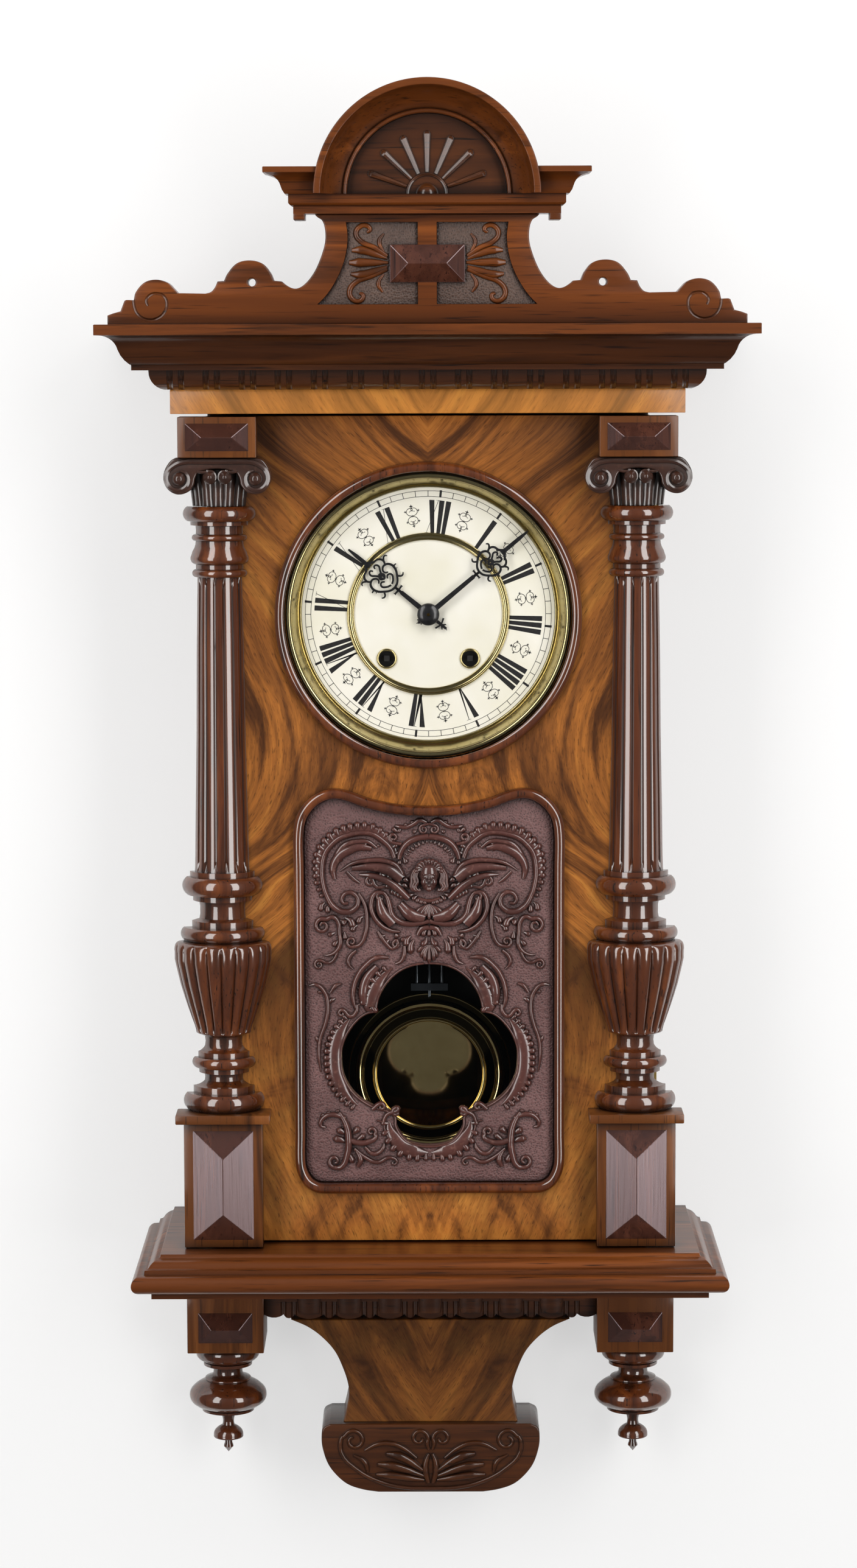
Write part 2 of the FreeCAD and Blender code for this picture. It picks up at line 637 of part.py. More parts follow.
def tooth_outline(teeth, module):
    """One turn of (radius, angle): straight roots and involute flanks."""
    pitch_r = teeth * module / 2
    tip_r = pitch_r + module * ADDENDUM_SHARE
    root_r = pitch_r - module * DEDENDUM_SHARE
    base_r = pitch_r * math.cos(math.radians(PRESSURE_DEGREES))
    pitch = 2 * math.pi / teeth

    def flank(r):
        t = math.sqrt(max((r / base_r) ** 2 - 1, 0))
        return t - math.atan(t)

    half = pitch * TOOTH_SHARE / 2
    radii = [root_r, max(base_r, root_r), pitch_r, (pitch_r + tip_r) / 2, tip_r]
    side = [(r, half + flank(pitch_r) - flank(r)) for r in radii]
    ring = []
    for k in range(teeth):
        centre = k * pitch
        ring += [(r, centre - a) for r, a in side]
        ring += [(r, centre + a) for r, a in side[::-1]]
    return ring


def gear(x, h, teeth, module, d0, d1, phase):
    ring = tooth_outline(teeth, module)
    flat = [(x + r * math.cos(a + phase), h + r * math.sin(a + phase)) for r, a in ring]
    return plate(flat, d0, d1)


def meshed(phase, teeth, at, other_teeth, other_at):
    """The phase that sets the other wheel's teeth between this one's."""
    toward = math.atan2(other_at[1] - at[1], other_at[0] - at[0])
    lead = phase - toward
    return toward + math.pi - lead * teeth / other_teeth + math.pi / other_teeth


def ratchet(x, h, r, cut, teeth, d0, d1):
    flat = []
    for k in range(teeth):
        for radius, step in ((r, 0), (r - cut, 0)):
            lean = 0 if radius == r else -RATCHET_LEAN_SHARE
            a = 2 * math.pi * (k + lean) / teeth
            flat.append((x + radius * math.cos(a), h + radius * math.sin(a)))
    return plate(flat[::-1], d0, d1)


def coil(x, h, r_out, pitch, turns, wire, d0, d1):
    """A flat spiral of half rings, each one half a pitch tighter than the last."""
    halves = []
    for k in range(2 * turns):
        r = r_out - pitch * k / 2
        centre = x + (pitch / 4 if k % 2 else -pitch / 4)
        ring = hollow_rod(centre, h, r + wire / 2, r - wire / 2, d0, d1)
        low, top = (h - r_out * 2, h) if k % 2 else (h, h + r_out * 2)
        halves.append(ring.common(box(x - r_out * 2, x + r_out * 2, d0, d1, low, top)))
    return joined(halves)


def save(name, shapes):
    solids = [s for shape in shapes for s in shape.Solids]
    whole = solids[0] if len(solids) == 1 else Part.makeCompound(solids)
    whole.exportStep("parts/" + name + ".step")
    print(name, len(solids), "solids", "valid" if whole.isValid() else "NOT VALID")


# Case: back board, sides and floor of the cupboard, all plain boards.
HALF_IN = CASE_HALF_W - CASE_WALL
board = box(-HALF_IN + PANEL_FIT, HALF_IN - PANEL_FIT, 0, BACK_T, BASE_TOP_H, CASE_TOP_H)
tab = box(-HANGER_HALF_W * 2, HANGER_HALF_W * 2, 0, BACK_T, CASE_TOP_H, BACK_TOP_H)
plate_low_h = DIAL_BELOW_HANGER + HANGER_BORE_FROM_TOP - HANGER_HIGH
plate_top_h = plate_low_h + HANGER_HIGH
rebate = box(-HANGER_HALF_W, HANGER_HALF_W, -OVERRUN, HANGER_T, plate_low_h, plate_top_h)
board = bored(joined([board, tab]).cut(rebate), 0, DIAL_BELOW_HANGER, HANGER_SLOT_R, 0, BACK_T)
save("back_board", [board])
save("case_sides", [
    box(-CASE_HALF_W, -HALF_IN, 0, CASE_DEPTH, BASE_TOP_H, CASE_TOP_H),
    box(HALF_IN, CASE_HALF_W, 0, CASE_DEPTH, BASE_TOP_H, CASE_TOP_H),
])
hang = box(-HANGER_HALF_W, HANGER_HALF_W, 0, HANGER_T, plate_low_h, plate_top_h)
save("hanger_plate", [bored(hang, 0, DIAL_BELOW_HANGER, HANGER_BORE_R, 0, HANGER_T)])

# Frieze, fluted band and cornice.
room_half_w = HANGER_HALF_W * 2 + PANEL_FIT
tab_room = box(-room_half_w, room_half_w, -OVERRUN, BACK_T + PANEL_FIT,
               CASE_TOP_H - OVERRUN, BACK_TOP_H + PANEL_FIT)
frieze = box(-FRIEZE_HALF_W, FRIEZE_HALF_W, 0, FRIEZE_DEPTH, FRIEZE_LOW_H, FRIEZE_TOP_H)
save("frieze", [frieze.cut(tab_room)])
band_shares = [(BAND_LOW_OUT / BAND_TOP_OUT, 0)] + BAND_SHARES
band = mitred(FRIEZE_HALF_W, FRIEZE_DEPTH, 0, FRIEZE_TOP_H, BAND_HIGH, BAND_TOP_OUT, band_shares)
flutes = []
for k in range(FLUTE_PAIRS):
    for s in (-1, 1):
        x = (k - (FLUTE_PAIRS - 1) / 2) * FLUTE_PITCH + s * FLUTE_SPACING / 2
        foot = point(x, FRIEZE_DEPTH + BAND_LOW_OUT + FLUTE_W / 2 - FLUTE_CUT, FRIEZE_TOP_H)
        head = point(x, FRIEZE_DEPTH + BAND_TOP_OUT + FLUTE_W / 2 - FLUTE_CUT, BAND_TOP_H)
        along = head - foot
        flutes.append(Part.makeCylinder(FLUTE_W / 2, along.Length, foot, along))
save("fluted_band", [band.cut(Part.makeCompound(flutes)).cut(tab_room)])
cornice = mitred(FRIEZE_HALF_W, FRIEZE_DEPTH, 0, BAND_TOP_H, CORNICE_HIGH, CORNICE_OUT, CORNICE_SHARES)
save("cornice", [cornice.cut(tab_room)])

# Crest: sawn board with carved scroll ends, small entablature, arch and sunburst.
outline = both_sides(scaled(CREST_SHARES, CREST_HALF_W, CREST_HIGH, CORNICE_TOP_H))
crest = plate(outline, CREST_REAR, CREST_FACE)
ear_x = CREST_HALF_W * EAR_HOLE_SHARES[0]
ear_h = CORNICE_TOP_H + CREST_HIGH * EAR_HOLE_SHARES[1]
for s in (-1, 1):
    crest = bored(crest, s * ear_x, ear_h, EAR_HOLE_R, CREST_REAR, CREST_FACE)
save("crest_board", [crest])
entab = mitred(ENTAB_HALF_W, CREST_FACE, CREST_REAR, ENTAB_LOW_H, ENTAB_HIGH, ENTAB_OUT, ENTAB_SHARES)
ARCH_SEAT = rod(0, ARCH_H, ARCH_R, CREST_REAR - OVERRUN, ARCH_DEPTH + OVERRUN)
upper_half = box(-ARCH_R * 2, ARCH_R * 2, 0, ARCH_DEPTH * 2, ARCH_H, ARCH_H + ARCH_R * 2)
save("crest_cornice", [entab.cut(ARCH_SEAT.common(upper_half))])
arch_high = ARCH_DEPTH - ARCH_BEAD_DEPTH
pairs = [
    (ARCH_INNER_R, CREST_REAR), (ARCH_R, CREST_REAR), (ARCH_R, ARCH_DEPTH), (ARCH_R - ARCH_LIP, ARCH_DEPTH),
]
pairs += [
    (ARCH_INNER_R + ARCH_COVE_W * a, ARCH_BEAD_DEPTH + arch_high * b) for a, b in ARCH_COVE_SHARES
]
save("crest_arch", [spun(pairs, 0, ARCH_H).common(upper_half)])
sun_r = ARCH_INNER_R - SUN_FIT
sun = [rod(0, ARCH_H, sun_r, CREST_REAR, SUN_FACE).common(upper_half)]
sun.append(rod(0, ARCH_H, SUN_RING_R, CREST_REAR, SUN_FACE + SUN_RING_HIGH).common(upper_half))
sun.append(Part.makeSphere(SUN_HUB_R, point(0, SUN_FACE, ARCH_H)).common(upper_half))
root, tip = RAY_ROOT_W / 2, RAY_TIP_W / 2
corners = [(RAY_INNER_R, -root), (RAY_OUTER_R, -tip), (RAY_OUTER_R, tip), (RAY_INNER_R, root)]
for k in range(RAY_COUNT):
    a = math.pi * (RAY_FIRST_SHARE + (1 - 2 * RAY_FIRST_SHARE) * k / (RAY_COUNT - 1))
    c, s = math.cos(a), math.sin(a)
    ray = [(u * c - v * s, ARCH_H + u * s + v * c) for u, v in corners]
    sun.append(plate(ray, CREST_REAR, SUN_FACE + RAY_HIGH))
save("sunburst", [joined(sun)])

# Base with its bullnose, lower blocks, rail, apron neck and tail, hanging finials.
base = mitred(BASE_HALF_W, BASE_DEPTH, 0, BASE_LOW_H, BASE_HIGH, BASE_OUT, BASE_SHARES)
save("base_moulding", [base])
save("lower_blocks", [
    box(x - LOW_BLOCK_HALF_W, x + LOW_BLOCK_HALF_W, 0, LOW_BLOCK_DEPTH, LOW_BLOCK_END_H, BASE_LOW_H)
    for x in (-LOW_BLOCK_X, LOW_BLOCK_X)
])
rail = box(-RAIL_HALF_W, RAIL_HALF_W, 0, LOW_RAIL_DEPTH, LOW_RAIL_END_H, BASE_LOW_H)
cuts = []
for k in range(LOW_FLUTE_PAIRS):
    for s in (-1, 1):
        x = (k - (LOW_FLUTE_PAIRS - 1) / 2) * LOW_FLUTE_PITCH + s * FLUTE_SPACING / 2
        d = LOW_RAIL_DEPTH + FLUTE_W / 2 - FLUTE_CUT
        cuts.append(post(x, d, FLUTE_W / 2, LOW_RAIL_END_H - OVERRUN, LOW_RAIL_END_H + BAND_HIGH))
save("lower_rail", [rail.cut(Part.makeCompound(cuts))])
neck = both_sides(scaled(NECK_SHARES, NECK_HALF_W, -NECK_HIGH, LOW_RAIL_END_H))
save("apron_neck", [plate(neck, 0, LOW_RAIL_DEPTH)])
tail = both_sides(scaled(TAIL_SHARES, TAIL_HALF_W, -TAIL_HIGH, LOW_RAIL_END_H - NECK_HIGH))
save("apron_tail", [plate(tail, 0, APRON_DEPTH)])
save("finials", [
    turned(x, FINIAL_DEPTH, LOW_BLOCK_END_H, FINIAL_HIGH, FINIAL_R, FINIAL_SHARES)
    for x in (-LOW_BLOCK_X, LOW_BLOCK_X)
])
save("case_pyramids", [
    pyramid(s * LOW_BLOCK_X, LOW_PYRAMID_H, LOW_PYRAMID_HALF_W, LOW_PYRAMID_HALF_H, LOW_PYRAMID_RIDGE,
            LOW_BLOCK_DEPTH, PYRAMID_HIGH)
    for s in (-1, 1)
] + [pyramid(0, TABLET_H, TABLET_HALF_W, TABLET_HALF_H, TABLET_RIDGE, CREST_FACE, TABLET_HIGH)])

# Door: veneered board with a round and a waisted opening.
frame_out = both_sides(scaled(FRAME_SHARES, FRAME_HALF_W, FRAME_HIGH, FRAME_TOP_H))
frame_out = [p for k, p in enumerate(frame_out) if p != frame_out[k - 1]]
frame_in = inset(frame_out, FRAME_W)
door = box(-CASE_HALF_W, CASE_HALF_W, DOOR_REAR, DOOR_FRONT, DOOR_LOW_H, DOOR_TOP_H)
door = bored(door, 0, 0, DOOR_HOLE_R, DOOR_REAR, DOOR_FRONT)
save("door_panel", [door.cut(plate(frame_in, DOOR_REAR - OVERRUN, DOOR_FRONT + OVERRUN))])
glass_rear = DOOR_FRONT + GLASS_GAP
seat_depth = glass_rear + GLASS_T + GLASS_SEAT_GAP
ring_w = RING_OUTER_R - RING_INNER_R
pairs = [(RING_INNER_R, seat_depth)]
pairs += [(RING_INNER_R + ring_w * a, DOOR_FRONT + RING_HIGH * b) for a, b in RING_SHARES[1:]]
pairs += [(GLASS_R + GLASS_SEAT_GAP, DOOR_FRONT), (GLASS_R + GLASS_SEAT_GAP, seat_depth)]
save("ring_moulding", [spun(pairs, 0, 0)])
save("dial_glass", [rod(0, 0, GLASS_R, glass_rear, glass_rear + GLASS_T)])
frame = plate(frame_out, DOOR_FRONT, FRAME_DEPTH)
save("lower_frame", [frame.cut(plate(frame_in, DOOR_FRONT - OVERRUN, FRAME_DEPTH + OVERRUN))])
opening = both_sides(scaled(OPENING_SHARES, OPENING_HALF_W, OPENING_HIGH, OPENING_TOP_H))
opening = [p for k, p in enumerate(opening) if p != opening[k - 1]]
panel = plate(inset(frame_in, PANEL_FIT), PANEL_DEPTH - PANEL_T, PANEL_DEPTH)
save("carved_panel", [panel.cut(plate(opening, DOOR_REAR, FRAME_DEPTH))])
glass_d = PANEL_DEPTH - PANEL_T
glass_w = OPENING_HALF_W + LOWER_GLASS_MARGIN
glass_low = OPENING_TOP_H - OPENING_HIGH - LOWER_GLASS_MARGIN
glass_top = OPENING_TOP_H + LOWER_GLASS_MARGIN
save("pendulum_glass", [box(-glass_w, glass_w, glass_d - LOWER_GLASS_T, glass_d, glass_low, glass_top)])

# Door order: split columns on pedestals, carrying capitals and blocks.
AXIS_DEPTH = DOOR_FRONT - COLUMN_SINK
front_room = box(-CASE_HALF_W * 2, CASE_HALF_W * 2, DOOR_FRONT, DOOR_FRONT * 2, DOOR_LOW_H, DOOR_TOP_H)


def fluted_ring(x, h, r):
    """One section of the fluted shaft."""
    ring = []
    for k in range(2 * FLUTES):
        for m in range(FLUTE_STEPS):
            share = m / FLUTE_STEPS
            a = math.pi * (k + share) / FLUTES
            dip = SHAFT_FLUTE * math.sin(math.pi * share)
            ring.append(point(x + (r - dip) * math.cos(a), AXIS_DEPTH + (r - dip) * math.sin(a), h))
    return Part.makePolygon(ring + ring[:1])


ABACUS_LOW_H = CAPITAL_TOP_H - ABACUS_HIGH
VOLUTE_H = ABACUS_LOW_H - VOLUTE_R
PED_CAP_HALF_W = PEDESTAL_HALF_W + PEDESTAL_CAP_OUT
columns, capitals, tops, pedestals, diamonds = [], [], [], [], []
for x in (-COLUMN_X, COLUMN_X):
    top = turned(x, AXIS_DEPTH, COLUMN_TOP_H, COLUMN_HIGH, COLUMN_R, COLUMN_TOP_SHARES)
    low = turned(x, AXIS_DEPTH, COLUMN_TOP_H, COLUMN_HIGH, COLUMN_R, COLUMN_LOW_SHARES)
    shaft = Part.makeLoft([
        fluted_ring(x, COLUMN_TOP_H - COLUMN_HIGH * SHAFT_TOP_SHARE, SHAFT_TOP_R),
        fluted_ring(x, COLUMN_TOP_H - COLUMN_HIGH * SHAFT_LOW_SHARE, SHAFT_LOW_R),
    ], True, True)
    columns.append(joined([turning.common(front_room) for turning in (top, shaft, low)]))
    abacus = box(x - CAPITAL_HALF_W, x + CAPITAL_HALF_W, DOOR_FRONT, CAPITAL_DEPTH,
                 ABACUS_LOW_H, CAPITAL_TOP_H)
    bell = turned(x, AXIS_DEPTH, CAPITAL_TOP_H, BELL_HIGH, BELL_R, BELL_SHARES).common(front_room)
    bridge = box(x - VOLUTE_X, x + VOLUTE_X, DOOR_FRONT, VOLUTE_DEPTH, VOLUTE_H, ABACUS_LOW_H)
    volutes = [rod(x + t * VOLUTE_X, VOLUTE_H, VOLUTE_R, DOOR_FRONT, VOLUTE_DEPTH) for t in (-1, 1)]
    capitals.append(joined([abacus, bell, bridge] + volutes))
    tops.append(box(x - BLOCK_HALF_W, x + BLOCK_HALF_W, DOOR_FRONT, BLOCK_DEPTH, CAPITAL_TOP_H, DOOR_TOP_H))
    body = box(x - PEDESTAL_HALF_W, x + PEDESTAL_HALF_W, DOOR_FRONT, PEDESTAL_DEPTH,
               DOOR_LOW_H, PED_CAP_LOW_H)
    cap = box(x - PED_CAP_HALF_W, x + PED_CAP_HALF_W, DOOR_FRONT, PEDESTAL_DEPTH + PEDESTAL_CAP_OUT,
              PED_CAP_LOW_H, PEDESTAL_TOP_H)
    pedestals.append(joined([body, cap]))
    mid = (CAPITAL_TOP_H + DOOR_TOP_H) / 2
    diamonds.append(pyramid(x, mid, TOP_PYRAMID_HALF_W, TOP_PYRAMID_HALF_H, TOP_PYRAMID_RIDGE,
                            BLOCK_DEPTH, PYRAMID_HIGH))
    mid = (DOOR_LOW_H + PED_CAP_LOW_H) / 2
    diamonds.append(pyramid(x, mid, PED_PYRAMID_HALF_W, PED_PYRAMID_HALF_H, PED_PYRAMID_RIDGE,
                            PEDESTAL_DEPTH, PYRAMID_HIGH))
save("half_columns", columns)
save("capitals", capitals)
save("top_blocks", tops)
save("pedestals", pedestals)
save("door_pyramids", diamonds)

# Butt hinges on the right: case leaf with the outer knuckles, door leaf with the middle one and the pin.
case_leaves, door_leaves = [], []
for h in HINGE_HEIGHTS:
    third = HINGE_HIGH / 3
    for k in range(3):
        h0 = h - HINGE_HIGH / 2 + third * k + KNUCKLE_GAP / 2
        h1 = h0 + third - KNUCKLE_GAP
        knuckle = post(HINGE_X, DOOR_REAR, HINGE_R, h0, h1)
        if k == 1:
            leaf = box(CASE_HALF_W, CASE_HALF_W + LEAF_T, DOOR_REAR + KNUCKLE_GAP, DOOR_FRONT - OVERRUN,
                       h0, h1)
            pin = post(HINGE_X, DOOR_REAR, HINGE_PIN_R, h - HINGE_HIGH / 2, h + HINGE_HIGH / 2)
            door_leaves.append(joined([knuckle, leaf, pin]))
        else:
            leaf = box(CASE_HALF_W, CASE_HALF_W + LEAF_T, CASE_DEPTH - LEAF_W, CASE_DEPTH - KNUCKLE_GAP,
                       h0, h1)
            hole = post(HINGE_X, DOOR_REAR, HINGE_PIN_R + HINGE_FIT, h0 - OVERRUN, h1 + OVERRUN)
            case_leaves.append(joined([knuckle, leaf]).cut(hole))
save("hinge_case_leaves", case_leaves)
save("hinge_door_leaves", door_leaves)

# Dial with its coved brass surround, inner ring and winding-hole grommets.
dial = bored(rod(0, 0, DIAL_R, DIAL_REAR, DIAL_DEPTH), 0, 0, DIAL_HOLE_R, DIAL_REAR, DIAL_DEPTH)
for s in (-1, 1):
    dial = bored(dial, s * WIND_X, WIND_H, GROMMET_HOLE_R + SUN_FIT, DIAL_REAR, DIAL_DEPTH)
save("dial_plate", [dial])
cove_high = SURROUND_DEPTH - DIAL_DEPTH
cove_w = SURROUND_R - SURROUND_LIP - DIAL_R
lip_rear = SURROUND_DEPTH - SURROUND_LIP
lip_mid = SURROUND_DEPTH - SURROUND_LIP / 2
pairs = [
    (DIAL_R + PANEL_FIT, DIAL_REAR), (SURROUND_FLANGE_R, DIAL_REAR), (SURROUND_R - 2 * DIAL_T, lip_rear),
    (SURROUND_R, lip_rear), (SURROUND_R, lip_mid), (SURROUND_R - SURROUND_LIP / 3, SURROUND_DEPTH),
    (SURROUND_R - SURROUND_LIP * 2 / 3, SURROUND_DEPTH), (SURROUND_R - SURROUND_LIP, lip_mid),
]
pairs += [
    (DIAL_R + PANEL_FIT + cove_w * a, DIAL_DEPTH + cove_high * b) for a, b in SURROUND_COVE_SHARES
]
save("dial_surround", [spun(pairs, 0, 0)])
ring_top = DIAL_DEPTH + INNER_RING_HIGH
rings = [hollow_rod(0, 0, INNER_RING_R, INNER_RING_R - INNER_RING_W, DIAL_DEPTH, ring_top)]
ring_top = DIAL_DEPTH + GROMMET_HIGH
for s in (-1, 1):
    rings.append(hollow_rod(s * WIND_X, WIND_H, GROMMET_R, GROMMET_HOLE_R, DIAL_DEPTH, ring_top))
save("dial_rings", rings)

# Movement: two plates on riveted pillars, carried by two brackets from the back board.
BARREL_AT = (WIND_X, WIND_H)
STRIKE_AT = (-WIND_X, WIND_H)
CENTRE_AT = (0, 0)
great_span = (GREAT_TEETH + LEAVES) * GREAT_MODULE / 2
second_span = (SECOND_TEETH + LEAVES) * SECOND_MODULE / 2
third_span = (CENTRE_TEETH + THIRD_LEAVES) * CENTRE_MODULE / 2
escape_span = (THIRD_TEETH + ESCAPE_LEAVES) * THIRD_MODULE / 2
warning_span = (SECOND_TEETH + WARNING_LEAVES) * SECOND_MODULE / 2
fly_span = (WARNING_TEETH + FLY_LEAVES) * WARNING_MODULE / 2


def crossing(a, ra, b, rb, side):
    """The point at ra from a and rb from b, on the given side of the line."""
    dx, dh = b[0] - a[0], b[1] - a[1]
    d = math.hypot(dx, dh)
    along = (ra * ra - rb * rb + d * d) / (2 * d)
    off = math.sqrt(ra * ra - along * along) * side
    return a[0] + (dx * along - dh * off) / d, a[1] + (dh * along + dx * off) / d


SECOND_AT = crossing(CENTRE_AT, second_span, BARREL_AT, great_span, 1)
ESCAPE_AT = (0, ESCAPE_H)
THIRD_AT = crossing(CENTRE_AT, third_span, ESCAPE_AT, escape_span, 1)
ANCHOR_AT = (0, SUSPENSION_H)
PIN_AT = spread(STRIKE_AT, great_span, STRIKE_LEAN_DEGREES)
WARNING_AT = spread(PIN_AT, warning_span, WARNING_LEAN_DEGREES)
FLY_AT = spread(WARNING_AT, fly_span, FLY_LEAN_DEGREES)
MOTION_SPAN = (CANNON_LEAVES + MINUTE_TEETH) * CANNON_MODULE / 2
MOTION_AT = spread(CENTRE_AT, MOTION_SPAN, MOTION_LEAN_DEGREES)
HAMMER_AT = (HAMMER_X, HAMMER_H)

front_plate = box(-PLATE_HALF_W, PLATE_HALF_W, FRONT_IN, PLATE_FRONT, PLATE_LOW_H, PLATE_TOP_H)
back_plate = box(-PLATE_HALF_W, PLATE_HALF_W, BACK_OUT, BACK_IN, PLATE_LOW_H, PLATE_TOP_H)
pivots = [SECOND_AT, ESCAPE_AT, THIRD_AT, PIN_AT, WARNING_AT, FLY_AT]
hole_r = PIVOT_R + PIVOT_FIT
arbor_hole_r = ARBOR_R + PIVOT_FIT
barrel_hole_r = BARREL_ARBOR_R + PIVOT_FIT
front_holes = [(at, hole_r) for at in pivots + [ANCHOR_AT]] + [(CENTRE_AT, arbor_hole_r)]
back_holes = [(at, hole_r) for at in pivots + [CENTRE_AT]] + [(ANCHOR_AT, arbor_hole_r)]
for (x, h), r in front_holes + [(BARREL_AT, barrel_hole_r), (STRIKE_AT, barrel_hole_r)]:
    front_plate = bored(front_plate, x, h, r, FRONT_IN, PLATE_FRONT)
for (x, h), r in back_holes + [(BARREL_AT, barrel_hole_r), (STRIKE_AT, barrel_hole_r)]:
    back_plate = bored(back_plate, x, h, r, BACK_OUT, BACK_IN)
front_plate = front_plate.fuse(rod(MOTION_AT[0], MOTION_AT[1], ARBOR_R, FRONT_IN, DIAL_REAR - MOTION_GAP))
stud_tip = RATCHET_DEPTH + MOTION_T + MOTION_GAP
for x, h in (BARREL_AT, STRIKE_AT):
    stud = rod(x + RATCHET_R + CLICK_OFFSET, h + CLICK_R, ARBOR_R, FRONT_IN, stud_tip)
    front_plate = front_plate.fuse(stud)
pillars = [
    rod(s * (PLATE_HALF_W - PILLAR_INSET), h, PILLAR_R, BACK_IN, FRONT_IN)
    for s in (-1, 1) for h in (PLATE_TOP_H - PILLAR_INSET, PLATE_LOW_H + PILLAR_INSET)
]
hammer_post = rod(HAMMER_X, HAMMER_H, ARBOR_R, HAMMER_DEPTH - HAMMER_ARM_T * 2, BACK_IN)
save("movement_plates", [front_plate, joined([back_plate] + pillars + [hammer_post])])
brackets = []
for s in (-1, 1):
    x = s * BRACKET_X
    low = BRACKET_TOP_H - BRACKET_HIGH
    arm = box(x - BRACKET_W / 2, x + BRACKET_W / 2, BACK_T, BACK_OUT, low, BRACKET_TOP_H)
    foot = box(x - BRACKET_W, x + BRACKET_W, BACK_T, BACK_T + BRACKET_FOOT_T,
               low - BRACKET_FOOT_OUT, BRACKET_TOP_H + BRACKET_FOOT_OUT)
    brackets.append(joined([arm, foot]))
save("movement_brackets", brackets)

# Going train, front to back: second wheel, third wheel, drum, centre wheel, great wheel, escape wheel.
FRONT_PLANE = FRONT_IN - WHEEL_T * 2
THIRD_PLANE = DRUM_DEPTHS[1] - WHEEL_T * 4
CENTRE_PLANE = DRUM_DEPTHS[0] + WHEEL_T * 2
GREAT_PLANE = DRUM_DEPTHS[0] - WHEEL_T - MOTION_GAP / 2
END_SHAKE = MOTION_GAP


def wheel_and_pinion(x, h, wheel, pinion):
    """A wheel and a pinion of (teeth, module, plane, phase); the pinion runs a little past both faces."""
    teeth, module, plane, phase = pinion
    leaves = gear(x, h, teeth, module, plane - END_SHAKE, plane + WHEEL_T + END_SHAKE, phase)
    teeth, module, plane, phase = wheel
    return [leaves, gear(x, h, teeth, module, plane, plane + WHEEL_T, phase)]


def arbor(at, parts, r=ARBOR_R):
    x, h = at
    shaft = rod(x, h, r, BACK_IN + END_SHAKE, FRONT_IN - END_SHAKE)
    ends = rod(x, h, PIVOT_R, BACK_OUT, PLATE_FRONT)
    return joined([shaft, ends] + parts)


great_phase = 0
second_pinion_phase = meshed(great_phase, GREAT_TEETH, BARREL_AT, LEAVES, SECOND_AT)
second_phase = 0
centre_pinion_phase = meshed(second_phase, SECOND_TEETH, SECOND_AT, LEAVES, CENTRE_AT)
centre_phase = 0
third_pinion_phase = meshed(centre_phase, CENTRE_TEETH, CENTRE_AT, THIRD_LEAVES, THIRD_AT)
third_phase = 0
escape_pinion_phase = meshed(third_phase, THIRD_TEETH, THIRD_AT, ESCAPE_LEAVES, ESCAPE_AT)
save("second_arbor", [arbor(SECOND_AT, wheel_and_pinion(
    *SECOND_AT, (SECOND_TEETH, SECOND_MODULE, FRONT_PLANE, second_phase),
    (LEAVES, GREAT_MODULE, GREAT_PLANE, second_pinion_phase),
))])
save("centre_arbor", [joined([
    rod(0, 0, ARBOR_R, BACK_IN + END_SHAKE, MINUTE_HAND_DEPTH),
    rod(0, 0, PIVOT_R, BACK_OUT, FRONT_IN),
] + wheel_and_pinion(
    *CENTRE_AT, (CENTRE_TEETH, CENTRE_MODULE, CENTRE_PLANE, centre_phase),
    (LEAVES, SECOND_MODULE, FRONT_PLANE, centre_pinion_phase),
))])
save("third_arbor", [arbor(THIRD_AT, wheel_and_pinion(
    *THIRD_AT, (THIRD_TEETH, THIRD_MODULE, THIRD_PLANE, third_phase),
    (THIRD_LEAVES, CENTRE_MODULE, CENTRE_PLANE, third_pinion_phase),
))])
x, h = ESCAPE_AT
teeth = []
for k in range(ESCAPE_TEETH):
    for rise, lag in ESCAPE_LAG_SHARES:
        a = 2 * math.pi * (k + lag) / ESCAPE_TEETH
        r = ESCAPE_ROOT_R + (ESCAPE_R - ESCAPE_ROOT_R) * rise
        teeth.append((x + r * math.cos(a), h + r * math.sin(a)))
escape_pinion = gear(x, h, ESCAPE_LEAVES, THIRD_MODULE, THIRD_PLANE - END_SHAKE,
                     THIRD_PLANE + WHEEL_T + END_SHAKE, escape_pinion_phase)
escape_wheel = plate(teeth, ANCHOR_DEPTH, ANCHOR_DEPTH + WHEEL_T)
save("escape_arbor", [arbor(ESCAPE_AT, [escape_pinion, escape_wheel], PIVOT_R)])

